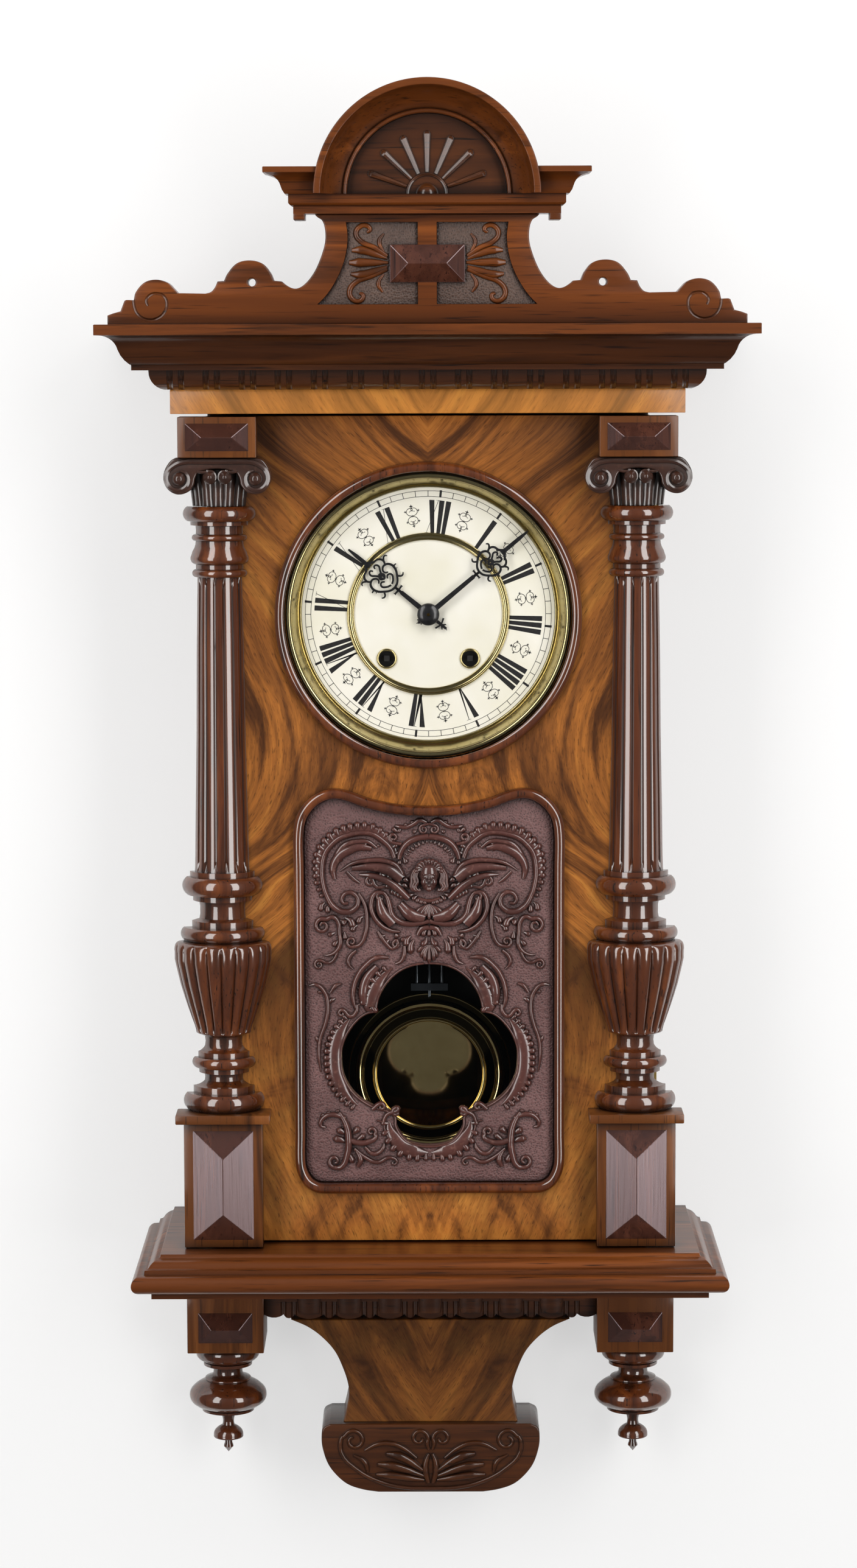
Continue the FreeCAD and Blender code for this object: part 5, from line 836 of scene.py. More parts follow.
# Pendulum window. A moulded frame with a lobed head is glued to the door, and a carved panel
# set inside it is pierced with a four-lobed opening for the bob, glazed from behind.
FRAME_SUNK = 106.0
window_frame = beading(shifted(frame_line, FRAME_W / 2), FRAME_W, FRAME_FRONT, FRAME_SUNK)
hung(window_frame, "moulded_window_frame", "door", TURNED, "moulding_walnut", "lower_frame")


def punched(name, light, dark, pit_and_shade_colour):
    """A carved ground matted with a fine punch and left unpolished, with painted shade in its hollows."""
    wood = Finish(name, Roughness=0.5, Coat_Weight=0.15, Coat_Roughness=0.3, Specular_IOR_Level=0.4)
    marks = wood.node("ShaderNodeTexVoronoi", {"feature": "F1"}, {"Vector": wood.place(), "Scale": 720.0})
    blotch = wood.ramp(wood.noise(wood.place(), 34.0, 3, 0.5), (0.3, dark), (0.7, light))
    pitted = wood.mixed(wood.mask(marks, 0.45, 0.1) * 0.8, blotch, pit_and_shade_colour)
    # The punch marks are darkened, and the hollows get painted shade in the same colour.
    return wood.feed(Base_Color=wood.painted_hollow_shade(0.005, 0.9, pitted, pit_and_shade_colour), Normal=wood.bump(marks, 0.0006, 0.9))


PUNCHED = punched("punched_ground", tint("#6E4E4C"), tint("#5A3C3A"), tint("#241616"))
TABLET = punched("punched_tablet", tint("#5A463C"), tint("#46342C"), tint("#1C1210"))


def carver(name, dark, middle, light):
    """Carved walnut under old polish: painted shade in the hollows, and fine lighter flecks where it is rubbed.
    """
    carving = Finish(name, Roughness=0.4, Coat_Weight=1.0, Coat_Roughness=0.13, Coat_IOR=1.6,
                     Specular_IOR_Level=0.3)
    grit = carving.noise(carving.place(), 320.0, 4, 0.62)
    blotch = carving.noise(carving.place(), 34.0, 3, 0.5)
    patina = carving.ramp(blotch, (0.1, dark), (0.5, middle))
    rubbed = carving.mixed(carving.mask(grit, 0.55, 0.75) * 0.4, patina, light)
    # The hollows get painted shade in the dark colour.
    return carving.feed(
        Base_Color=carving.painted_hollow_shade(0.006, 1.0, rubbed, dark), Normal=carving.bump(grit, 0.0002, 0.4))


CARVED = carver("carved_walnut", tint("#160A08"), tint("#502C26"), tint("#946A5E"))
CARVED_DARK = carver("dark_carving", tint("#170C07"), tint("#361D13"), tint("#644030"))
PANEL_REAR, PANEL_FRONT = 102.0, 110.0
panel = sawn([shifted(frame_line, FRAME_W + 0.2), opening_line], PANEL_REAR, PANEL_FRONT, 0.8)
hung(panel, "pierced_panel", "door", PUNCHED, "carved_walnut", "carved_panel")

# Carving of the panel. Cut in the solid in low relief, the same on both sides of the middle:
# ribbed shells, a plain winged child's head under a hood, bowl scrolls, leaves, and a
# gadrooned border round the opening. It is drawn on a squared sheet, 8.4 units to the mm.
SHEET_X, SHEET_Y, SHEET_SCALE, SHEET_MID, SHEET_MM = 480, 1280, 3.4087, 765.6, 8.386


def sheet(x, y):
    """A place on the carver's sheet, as across from the middle and up from the dial's centre in mm."""
    return (x - SHEET_MID) / SHEET_MM, seen(SHEET_X, SHEET_Y + y / SHEET_SCALE, PANEL_FRONT)[1]


def cut_on(sheet_lines, full=1.0, both_sides=True):
    """Strokes of the sheet, in mm, with their mirrored twins."""
    lines = [[(*sheet(x, y), w * full / SHEET_MM) for x, y, w in line] for line in sheet_lines]
    return mirrored_too(lines) if both_sides else lines


def mirrored_too(lines):
    """Strokes in mm and their twins over the centre line."""
    return lines + [[(-x, h, w) for x, h, w in line] for line in lines]


def curl(x, y, r, turns, start, w, way, lead=()):
    """A stroke that runs in along its lead and winds up about (x, y)."""
    count = max(6, round(turns * 8))
    wound = []
    for k in range(count + 1):
        t = k / count
        a, reach = math.radians(start) + way * 2 * math.pi * turns * t, r * (1 - 0.72 * t)
        wound.append((x + reach * math.cos(a), y - reach * math.sin(a), w * (1 - 0.35 * t)))
    return [*lead, *wound]


def scallops(line, reach, count, wide):
    """Short ribs side by side to the left of a line in mm, rounded at their outer ends."""
    lengths = [0.0]
    for a, b in zip(line, line[1:]):
        lengths.append(lengths[-1] + (b - a).length)
    made, k = [], 0
    for rib in range(count):
        goal = lengths[-1] * (rib + 0.5) / count
        while lengths[k + 1] < goal:
            k += 1
        way = (line[k + 1] - line[k]).normalized()
        out, foot = Vector((-way.y, way.x)) * reach, line[k] + way * (goal - lengths[k])
        fade = math.sin(math.pi * (0.12 + 0.76 * (rib + 0.5) / count)) ** 0.5
        made.append([(*(foot + out * share * fade), wide * w * fade)
                     for share, w in ((0.0, 0.5), (0.5, 0.9), (0.9, 1.0), (1.12, 0.35))])
    return made


def leaflet(x0, y0, x1, y1, w, bow=0.0):
    """One leaflet: pointed at its root, full near its end."""
    way = Vector((x1 - x0, y1 - y0))
    side = Vector((-way.y, way.x)) * bow
    return [(x0, y0, w * 0.3), (*(Vector((x0, y0)) + way * 0.45 + side), w * 0.85),
            (*(Vector((x0, y0)) + way * 0.8 + side * 0.6), w), (x1, y1, w * 0.35)]


SHELL_EDGE = [(570, 440), (550, 390), (500, 340), (440, 305), (380, 300), (320, 310), (260, 330), (210, 370),
              (175, 420), (160, 500), (165, 580), (190, 660)]
deep_strokes = [
    # the hood, the shells' ribs and their volutes
    [(596, 448, 10), (606, 410, 12), (640, 362, 13), (700, 332, 13), (765, 322, 13)],
    [(x, y, 11) for x, y in SHELL_EDGE]
    + [(230, 720, 13), (290, 745, 13), (340, 730, 12), (365, 690, 11), (350, 650, 10), (310, 635, 9),
       (275, 660, 9), (280, 695, 8), (308, 696, 8)],
    # bowl scrolls
    curl(492, 664, 32, 0.9, 20, 9, 1)[::-1] + [(540, 700, 12), (556, 760, 13), (600, 800, 13),
                                                  (660, 812, 12), (720, 806, 11), (765, 796, 10)],
    [(500, 632, 7), (462, 640, 10), (438, 690, 11), (446, 752, 11), (486, 812, 11), (540, 846, 10),
     (600, 856, 6)],
    # wing blade and the feathers' shoulders
    [(262, 516, 3), (330, 474, 8), (430, 456, 10), (520, 460, 11), (584, 488, 12), (622, 548, 10)],
    [(372, 536, 5), (440, 540, 12), (520, 566, 16), (590, 612, 18), (650, 668, 14)],
    # stems at the sides
    curl(162, 822, 44, 1.3, 60, 10, 1, [(258, 866, 9), (250, 800, 10), (222, 772, 10)]),
    [(258, 866, 9), (262, 920, 10), (240, 962, 9), (196, 986, 6), (164, 984, 3)],
    curl(326, 912, 30, 1.2, -60, 8, -1, [(366, 640, 7), (400, 700, 9), (414, 780, 9), (404, 866, 9),
                                         (372, 928, 9)]),
    curl(140, 1040, 26, 1.2, 90, 7, 1, [(250, 930, 6), (232, 1000, 7), (196, 1030, 7)]),
    [(352, 960, 7), (314, 996, 9), (308, 1036, 8), (336, 1066, 3)],
    # acanthus below the bowl
    curl(580, 928, 24, 1.1, 80, 8, 1, [(474, 852, 6), (500, 892, 9), (530, 930, 9), (560, 950, 8)]),
    [(626, 934, 7), (624, 980, 10), (606, 1020, 9), (574, 1036, 5)],
    # the border's hooked ends
    [(536, 1000, 6), (470, 1000, 11), (408, 1040, 11), (360, 1102, 11), (336, 1176, 11), (336, 1250, 9),
     (352, 1290, 6)],
    curl(268, 1312, 20, 1.0, 60, 9, 1, [(356, 1262, 7), (352, 1300, 9), (318, 1330, 9)]),
    curl(492, 1836, 20, 1.0, 120, 9, -1, [(440, 1850, 9)]),
    curl(574, 1866, 24, 1.0, 60, 10, 1, [(500, 1930, 7), (520, 1880, 9)]),
    # lower corners
    curl(224, 2140, 36, 1.0, -80, 10, -1, [(250, 1866, 8), (288, 1930, 13), (304, 2010, 15), (296, 2100, 14),
                                        (262, 2170, 12)]),
    curl(434, 1976, 26, 1.0, -40, 9, 1, [(300, 2016, 12), (360, 2036, 13), (420, 2030, 12), (460, 2000, 10)]),
    [(284, 1900, 9), (220, 1878, 11), (160, 1896, 10), (146, 1940, 8), (172, 1950, 5)],
    curl(560, 2146, 22, 0.8, 90, 7, -1, [(336, 2070, 8), (400, 2120, 9), (470, 2146, 9), (530, 2120, 8)]),
    [(348, 2078, 8), (372, 2130, 13), (354, 2170, 8)],
    [(396, 2060, 7), (446, 2100, 10), (500, 2066, 9), (506, 2040, 5)],
    # long leaves up the sides
    [(150, 1640, 3), (138, 1560, 7), (144, 1460, 8), (178, 1360, 9), (190, 1260, 9), (170, 1190, 9),
     (120, 1150, 8), (84, 1156, 4)],
    [(204, 1196, 6), (232, 1158, 9), (266, 1146, 5)],
    # crown scrolls and rosettes
    curl(736, 284, 26, 1.3, 90, 7, 1, [(765, 250, 7)]),
    [(752, 244, 8), (716, 230, 10), (680, 252, 10), (640, 270, 9), (600, 268, 8), (576, 262, 5)],
    curl(566, 330, 28, 1.1, -90, 9, -1, [(610, 366, 8)]),
]
low_strokes = [
    [(232, 560, 8), (222, 500, 14), (250, 440, 18), (310, 400, 18), (380, 380, 15), (440, 390, 10)],
    [(470, 386, 6), (420, 352, 9), (356, 352, 11), (290, 372, 12), (246, 424, 12), (226, 474, 7)],
    [(330, 500, 10), (440, 492, 18), (540, 510, 24), (610, 560, 24)],
    [(300, 520, 6), (340, 560, 8), (372, 582, 5)],
    curl(434, 576, 26, 1.1, 100, 8, 1, [(520, 600, 8), (470, 606, 8)]),
    [(480, 660, 10), (500, 740, 24), (560, 812, 22)], [(600, 700, 16), (660, 760, 26), (740, 782, 20)],
    [(470, 1050, 14), (410, 1120, 20), (390, 1200, 20), (396, 1260, 14)]]
LEAFLETS = [
    (416, 356, 400, 404, 12, 0.2), (360, 356, 344, 412, 13, 0.2), (300, 370, 300, 428, 13, 0.2),
    (262, 404, 274, 462, 12, 0.2), (470, 384, 486, 366, 8), (262, 790, 298, 812, 14),
    (290, 776, 334, 838, 15, -0.2), (360, 820, 330, 856, 12, 0.2), (392, 770, 366, 812, 12, 0.2),
    (176, 690, 156, 742, 12, 0.2), (210, 700, 196, 752, 12, 0.2), (232, 860, 190, 876, 10),
    (254, 900, 218, 936, 11), (286, 856, 290, 900, 11), (516, 876, 478, 888, 11), (540, 900, 512, 926, 11),
    (600, 880, 566, 876, 11), (660, 880, 640, 940, 14, 0.2), (680, 900, 664, 980, 15, 0.15),
    (650, 900, 600, 900, 10), (300, 1990, 236, 1960, 14), (300, 2040, 214, 2016, 14, 0.1),
    (290, 2080, 330, 2150, 14), (324, 1990, 366, 1950, 14), (250, 1880, 236, 1850, 10),
    (200, 1886, 186, 1858, 9), (180, 1900, 146, 1876, 9), (340, 2030, 400, 1990, 12), (700, 262, 660, 236, 9),
    (650, 276, 626, 250, 8), (612, 272, 590, 300, 8), (700, 290, 672, 300, 9), (596, 300, 556, 276, 10),
    (602, 450, 596, 480, 10), (620, 440, 640, 474, 12), (150, 1500, 120, 1440, 8),
    (186, 1290, 232, 1230, 9, -0.2), (176, 1200, 130, 1190, 8), (356, 1168, 380, 1180, 7)]
low_strokes += [leaflet(*line) for line in LEAFLETS]
feathers = []
for row, (y, far, w) in enumerate(((584, 470, 12), (616, 500, 12), (648, 534, 12), (680, 580, 12))):
    for k in range(4):
        x = 650 - row * 6 - k * (650 - far) / 4
        feathers.append(leaflet(x + 14, y + k * -9, x - 38, y - 22 - k * 9, w, 0.12))
fan = [leaflet(765, 700, 765 - 26 * k, 786 - 9 * k * k ** 0.3, 11) for k in range(1, 4)]
ruff = [leaflet(748 - 16 * k, 668 - 1.6 * k * k, 738 - 24 * k, 704 - 3 * k * k, 11) for k in range(0, 5)]
palmette = [leaflet(765, 930, 765 - 22 * k, 1026 - 6 * k * k, 10, 0.12) for k in range(1, 4)]
palmette += [leaflet(752, 888, 716, 930, 14, -0.2), [(765, 832, 12), (722, 840, 13), (700, 876, 9)],
             leaflet(756, 842, 734, 884, 12, 0.2)]
middle_strokes = [leaflet(765, 700, 765, 796, 11), leaflet(765, 930, 765, 1034, 11),
                  leaflet(765, 836, 765, 884, 12),
          [(700, 668, 8), (765, 684, 10), (830, 668, 8)]]


def round_opening(by, top, low):
    """The left side's part of a line that runs round the opening that far out, between two heights."""
    line = [Vector((-p.x, p.y)) for p in shifted(opening_line, -by)[:len(opening_line) // 2 + 1]]
    return [p for p in line if low <= p.y <= top]


def shifted_along(line, by):
    """An open line moved to its left by a width in mm."""
    ways = [(b - a).normalized() for a, b in zip(line, line[1:])]
    return [point + Vector((-way.y, way.x)) * by for point, way in zip(line, ways)]


shell_line = [Vector(p) for p in flowing([sheet(x, y) for x, y in SHELL_EDGE], 8, closed=False)]
hood_line = [Vector(sheet(x, y)) for x, y in ((628, 430), (650, 390), (690, 356), (728, 344), (765, 340))]
SIDE_TOP_H, SIDE_LOW_H = -272.0, -334.0


def banded(line, width):
    """A broad band along a line, drawn out thin at its ends, or whole where it meets its twin."""
    last, drawn_out = len(line) - 1, []
    for k, point in enumerate(line):
        from_start = k if line[0].x < -0.5 else last
        from_end = last - k if line[-1].x < -0.5 else last
        drawn_out.append((*point, width * min(1.0, 0.12 + from_start / 5, 0.12 + from_end / 5)))
    return drawn_out


gadroons = scallops(shell_line, reach=-7.0, count=21, wide=2.6)
gadroons += scallops(hood_line, reach=-3.2, count=7, wide=1.4)
ribbons = [banded(shifted_along(shell_line, -1.6)[::3], 4.2)]
border_lines = []
for upper, lower, count in ((-238.5, -266.0, 8), (SIDE_TOP_H, SIDE_LOW_H, 17), (-343.0, -400.0, 8)):
    gadroons += scallops(round_opening(5.6, upper, lower), -6.6, count, 2.5)
    ribbons.append(banded(round_opening(5.2, upper, lower)[::2], 5.2))
    border_lines.append([(*p, 0.8) for p in round_opening(8.6, upper, lower)[::2]])
lip = [[(*p, 0.9) for p in shifted(opening_line, -0.9)[::3]]]
low_relief = carved(cut_on(low_strokes, full=1.6), PANEL_FRONT, rise=0.85, steps=4)
banding = carved(mirrored_too(ribbons), PANEL_FRONT, rise=0.42, steps=3, round_steps=3)
ribs = cut_on(feathers + fan + ruff + palmette, full=1.5) + mirrored_too(gadroons)
ribbing = carved(ribs, PANEL_FRONT, rise=1.05, steps=2)
high_relief = carved(cut_on(deep_strokes, full=1.55) + mirrored_too(border_lines), PANEL_FRONT, rise=1.45,
                     steps=4)
centre = carved(cut_on(middle_strokes, full=1.3, both_sides=False) + lip, PANEL_FRONT, rise=1.4, steps=3)
hung(joined([low_relief, banding, ribbing, high_relief, centre]), "panel_carving", "door", CARVED,
     "carved_walnut", crease=75)


def lump(x, d, h, rx, rd, rh):
    """A rounded lump of the head."""
    pick(camera)
    bpy.ops.mesh.primitive_uv_sphere_add(segments=28, ring_count=16, radius=1, location=at(x, d, h))
    bpy.context.object.scale = Vector((rx, rd, rh)) * mm
    settle(bpy.context.object)
    return bpy.context.object


head_h = sheet(765, 548)[1]
HEAD = [
    (0, 110.0, 1.5, 7.2, 7.4, 9.2), (0, 112.0, -4.2, 5.4, 4.8, 5.4), (2.9, 114.4, -3.0, 2.8, 2.7, 2.8),
    (0, 114.6, -7.8, 2.2, 2.2, 1.9), (0, 117.2, 0.2, 0.75, 1.0, 2.2), (0, 118.4, -1.7, 1.1, 1.1, 0.95),
    (0.8, 117.8, -2.0, 0.6, 0.7, 0.5), (0, 116.7, -4.3, 1.6, 0.8, 0.42), (0, 116.6, -5.2, 1.25, 0.85, 0.5),
    (2.7, 116.2, 0.5, 1.2, 0.8, 0.7), (2.7, 116.4, 2.2, 1.9, 0.8, 0.55)]
head = joined([lump(s * x, d, head_h + h, *r) for x, d, h, *r in HEAD for s in ((-1, 1) if x else (1,))])
pick(head)
head.data.remesh_voxel_size = 0.26 * mm
bpy.ops.object.voxel_remesh()
soften = head.modifiers.new("soften", "SMOOTH")
soften.factor, soften.iterations = 0.5, 3
bpy.ops.object.modifier_apply(modifier="soften")
locks = []
for k in range(11):
    a = math.radians(8 + 164 * k / 10)
    x, h = 8.6 * math.cos(a), head_h + 3.0 + 8.4 * math.sin(a)
    locks.append([(x * 0.5, head_h + 6.6 - abs(x) * 0.2, 0.7), (x * 0.84, h * 0.62 + (head_h + 6.4) * 0.38, 1.5),
                  (x, h, 1.7), (x * 1.16, h - 1.6, 1.1)])
for s in (-1, 1):
    for x0, x1, x2, w in ((6.4, 8.6, 7.6, 1.4), (8.2, 10.2, 9.6, 1.5), (9.4, 11.6, 11.8, 1.2)):
        locks.append([(s * x, head_h + h, w * share) for x, h, share in (
            (x0, 5.6, 0.8), (x1, 1.0, 1), (x2, -3.2, 1), (x1 + 0.6, -6.8, 1), (x2 - 1.4, -8.8, 0.8),
            (x0 + 0.4, -7.6, 0.5))])
hair = carved(locks, 113.0, rise=1.3, steps=4)
skull = lump(0, 108.8, head_h + 2.4, 9.6, 6.4, 9.4)
hung(joined([head, hair, skull]), "carved_head", "door", CARVED, "carved_walnut", crease=75)

# Door order. Half columns, each turned whole with a fluted shaft and a gadrooned vase and
# then split, stand on block pedestals and carry scrolled capitals and diamond-cut blocks.
COLUMN_X, COLUMN_AXIS = 139.2, 107.0
COLUMN = [
    (0, -334.2), (25.2, -334.2), (25.4, -322.6, 0.44), (21.2, -322.6), (21.2, -317.9), (13.9, -314.4, -0.2),
    (14.0, -309.6, -0.1), (17.4, -309.0), (17.5, -305.6), (20.2, -305.4), (20.2, -298.3, 0.5), (18.0, -298.2),
    (18.0, -294.7), (13.6, -290.6, -0.2), (13.6, -284.4, -0.1), (18.6, -282.2, -0.1), (19.4, -280.6, 0.2),
    (21.8, -273.1), (25.6, -260.8), (29.2, -248.6), (32.0, -236.4), (33.0, -226.6, 0.1), (32.6, -221.6, 0.15),
    (30.0, -219.2, 0.2), (26.6, -218.6), (26.6, -209.6, 0.5), (21.2, -209.4), (21.2, -205.2), (16.4, -203.6),
    (15.9, -198.0, -0.1), (16.4, -192.4, -0.1), (20.4, -191.6), (20.5, -188.0), (24.4, -187.6),
    (24.4, -175.3, 0.5), (22.3, -175.0), (22.3, -171.6), (19.1, -171.6), (18.9, -168.0), (18.7, -160.0),
    (18.2, -130.0), (17.2, -80.0), (16.5, -20.0), (15.8, 16.0), (15.7, 23.0), (15.6, 26.1), (17.4, 26.2),
    (17.6, 31.2, 0.6), (16.6, 31.6), (16.6, 34.4), (18.6, 35.4), (19.5, 40.6, 0.35), (17.4, 45.8, 0.1),
    (16.6, 50.2, -0.1), (17.6, 50.4), (17.6, 54.6, 0.7), (16.5, 55.0), (16.6, 60.2, -0.06), (19.8, 60.8),
    (19.9, 63.2), (22.0, 63.5), (22.0, 73.4, 0.55), (0, 73.4)]
SHAFT_LOW, SHAFT_HIGH, VASE_LOW, VASE_HIGH = -171.0, 25.6, -281.6, -220.4


def fluted(piece, x, depth, low, high, count, cut, ends, section):
    """Points between two heights are drawn in towards the axis, flute by flute, to that cut in mm."""
    middle = at(x, depth, 0)
    bpy.ops.object.mode_set(mode="OBJECT")
    classes = {}
    for vertex in piece.data.vertices:
        h = (vertex.co.z - DIAL_Z) / mm
        if low < h < high and math.hypot(vertex.co.x - middle.x, vertex.co.y - middle.y) > 2 * mm:
            turn = math.atan2(vertex.co.y - middle.y, vertex.co.x - middle.x) / (2 * math.pi) * count % 1
            close = min(h - low, high - h) / ends
            fade = math.sqrt(max(0.0, 1 - (1 - min(close, 1.0)) ** 2))
            radius = math.hypot(vertex.co.x - middle.x, vertex.co.y - middle.y) / mm
            share = 1 - cut * fade * section(turn) / radius
            classes.setdefault(round(share, 3), []).append(vertex.index)
    for share, rows in classes.items():
        bpy.ops.object.mode_set(mode="EDIT")
        bpy.ops.mesh.select_mode(type="VERT")
        bpy.ops.mesh.select_all(action="DESELECT")
        bpy.ops.object.mode_set(mode="OBJECT")
        for row in rows:
            piece.data.vertices[row].select = True
        bpy.ops.object.mode_set(mode="EDIT")
        bpy.ops.transform.resize(value=(share, share, 1), center_override=middle)
        bpy.ops.object.mode_set(mode="OBJECT")


def hollow(turn):
    """A narrow round groove between wide fillets."""
    return math.sqrt(max(0.0, 1 - (abs(turn - 0.5) / 0.12) ** 2))


def lobe(turn):
    """Rounded lobes that meet in sharp grooves."""
    return 1 - abs(math.sin(math.pi * turn)) ** 0.6


def split_at(piece, depth):
    """What lies behind a depth is sawn off, and the cut is closed."""
    with shaping(piece):
        bpy.ops.mesh.bisect(plane_co=at(0, depth, 0), plane_no=(0, 1, 0), use_fill=True, clear_outer=True)


def tall(profile, low, high, step):
    """The arcs of a turning, with more rings where it is fluted."""
    made = []
    for a, b in zip(profile, profile[1:]):
        made.append(a)
        if low < a.y < high and b.y - a.y > step:
            count = int((b.y - a.y) / step)
            made += [a.lerp(b, k / (count + 1)) for k in range(1, count + 1)]
    return [tuple(p) for p in made + [profile[-1]]]


shape = tall(arcs(COLUMN, 12), low=-283, high=26, step=5)
column = spun(shape, at(-COLUMN_X, COLUMN_AXIS, 0), "Z", 240)
fluted(column, -COLUMN_X, COLUMN_AXIS, SHAFT_LOW, SHAFT_HIGH, count=16, cut=1.4, ends=6.0, section=hollow)
fluted(column, -COLUMN_X, COLUMN_AXIS, VASE_LOW, VASE_HIGH, count=20, cut=2.2, ends=9.0, section=lobe)
split_at(column, DOOR_FRONT)
pick(column)
bpy.ops.object.duplicate()
twin = bpy.context.object
twin.location.x = 2 * COLUMN_X * mm
settle(twin)
hung(joined([column, twin]), "split_columns", "door", TURNED, "moulding_walnut",
     "half_columns")

# Capitals. Carved walnut: a board scrolled at both ends over a fluted bell, with two small
# scrolls between the large ones, stained darker than the turnings.
def spiral(x, h, r0, r1, turns, start, w0, w1, way=1):
    """A line of (x, h, half width) points that winds in from r0 to r1 about (x, h)."""
    count = max(5, round(turns * 8))
    made = []
    for k in range(count + 1):
        t = k / count
        a, r = math.radians(start) + way * 2 * math.pi * turns * t, r0 + (r1 - r0) * t
        made.append((x + r * math.cos(a), h + r * math.sin(a), w0 + (w1 - w0) * t))
    return made


CAPITAL_TOP_H, VOLUTE_X, VOLUTE_H, SMALL_X, SMALL_H = 106.2, 25.2, 92.2, 4.9, 93.2


def capital(x):
    """One capital, whose middle is that far across."""
    right = [(0, CAPITAL_TOP_H), (20, CAPITAL_TOP_H), (28.6, CAPITAL_TOP_H - 0.6), (33.4, 100.6), (35.6, 93.6),
             (33.4, 86.2), (27.0, 82.0), (19.6, 83.4), (15.6, 88.0), (14.6, 92.4), (12.4, 96.2), (7.0, 98.0),
             (3.0, 98.6)]
    parts = [sawn([[(p.x + x, p.y) for p in flowing(both(right))]], 112.0, 134.0, 1.2)]
    strokes = []
    for s in (-1, 1):
        start, way = (70, -1) if s > 0 else (110, 1)
        strokes.append([(x, 103.6, 2.2), (x + s * 12, 103.7, 2.2), (x + s * 22, 103.3, 2.1)]
                       + spiral(x + s * VOLUTE_X, VOLUTE_H, 9.3, 5.2, 0.92, start, 2.0, 1.5, way))
        strokes.append([(x + s * 13.6, 97.2, 0.9), (x + s * 9.0, 96.6, 1.1), (x + s * 6.0, 97.4, 1.1)]
                       + spiral(x + s * SMALL_X, SMALL_H, 4.4, 2.6, 0.9, 90 - s * 20, 1.1, 0.8, s))
    parts.append(carved(strokes, 133.4, rise=0.9, steps=4))
    for s in (-1, 1):
        eye = [(0, 138.0), (2.6, 137.4, -0.3), (4.4, 135.4, -0.2), (4.6, 132.0), (0, 132.0)]
        parts.append(spun(eye, at(x + s * VOLUTE_X, 0, VOLUTE_H), "Y", 32))
        small = [(0, 136.4), (1.6, 136.0, -0.3), (4.6, 133.4, -0.1), (4.6, 116.0), (0, 116.0)]
        parts.append(spun(small, at(x + s * SMALL_X, 0, SMALL_H), "Y", 32))
    bell = tall(arcs([(0, 73.6), (18.4, 73.6), (18.8, 77.0), (19.6, 84.0), (21.4, 92.0), (21.8, 98.0),
                      (0, 98.0)]),
                74, 97, 3)
    bell = spun(bell, at(x, COLUMN_AXIS, 0), "Z", 112)
    fluted(bell, x, COLUMN_AXIS, 73.0, 99.0, count=14, cut=1.9, ends=3.0, section=lobe)
    split_at(bell, DOOR_FRONT)
    return joined(parts + [bell])


hung(joined([capital(-COLUMN_X), capital(COLUMN_X)]), "scrolled_capitals", "door", CARVED_DARK,
     "carved_walnut", "capitals")

# Blocks and pedestals. Squared walnut with a moulded cap on each pedestal, and a planed
# diamond glued to the face of each. The door's brass hinges are let in behind them.
BLOCK_FRONT, PED_FRONT, PED_TOP_H, PED_CAP_LOW_H = 137.0, 132.0, -334.4, -340.6
PED_CAP_FRONT, DIAMOND_RISE = 137.4, 7.0
tops, pedestals, diamonds = [], [], []
for x in (-COLUMN_X, COLUMN_X):
    tops.append(block(x - 25.9, x + 25.9, DOOR_FRONT, BLOCK_FRONT, CAPITAL_TOP_H, DOOR_TOP_H, 0.5))
    pedestals.append(block(x - 26.4, x + 26.4, DOOR_FRONT, PED_FRONT, DOOR_LOW_H, PED_CAP_LOW_H, 0.5))
    pedestals.append(block(x - 31.8, x + 31.8, DOOR_FRONT, PED_CAP_FRONT, PED_CAP_LOW_H, PED_TOP_H, 0.8))
    diamonds.append(facets(x, 119.6, half_w=21.0, half_h=9.2, ridge=10.0, base=BLOCK_FRONT,
                           high=DIAMOND_RISE))
    diamonds.append(facets(x, -383.2, half_w=20.5, half_h=37.5, ridge=19.0, base=PED_FRONT,
                           high=DIAMOND_RISE))
hung(joined(tops), "squared_top_blocks", "door", BLOCK_UPRIGHT, "block_walnut", "top_blocks")
hung(joined(pedestals), "capped_pedestals", "door", BLOCK_UPRIGHT, "block_walnut", "pedestals")
hung(joined(diamonds), "door_diamonds", "door", FACET, "facet_walnut", "door_pyramids", crease=6)
hinge_brass = Finish("hinge_brass", Metallic=1.0)
dull = hinge_brass.noise(hinge_brass.place(), 120.0, 4, 0.6)
HINGE_BRASS = hinge_brass.feed(
    Base_Color=hinge_brass.ramp(dull, (0.3, tint("#7E6A38")), (0.7, tint("#A98F50"))),
    Roughness=dull * 0.3 + 0.3)
dressed(HINGE_BRASS, "hinge_case_leaves", "hinge_door_leaves")


# Cornice. Mitred walnut mouldings above a veneered frieze: a rounded band cut with pairs of
# flutes, then a wave moulding darkened with painted shade under the slab, and a square slab. They
# return to the wall on both sides, and room for the hanging plate is cut out behind.
def mitred(profile, half_w, depth, rear=0.0):
    """A moulding of (out, h) points that returns along both sides of a block, closed all round."""
    points = [tuple(p) for p in arcs(profile, 12)]
    out, h = points[0]
    pick(camera)
    bpy.ops.mesh.primitive_plane_add(size=1, location=at(0, (rear + depth + out) / 2, h))
    piece = bpy.context.object
    piece.scale = Vector((2 * (half_w + out), depth + out - rear, 1)) * mm
    settle(piece)
    with shaping(piece):
        for new_out, new_h in points[1:]:
            bpy.ops.mesh.extrude_region_move(TRANSFORM_OT_translate={"value": (0, 0, (new_h - h) * mm)})
            share = ((half_w + new_out) / (half_w + out), (depth + new_out - rear) / (depth + out - rear), 1)
            bpy.ops.transform.resize(value=share, center_override=at(0, rear, new_h))
            out, h = new_out, new_h
        bpy.ops.mesh.select_all(action="SELECT")
        bpy.ops.mesh.normals_make_consistent(inside=False)
    return piece


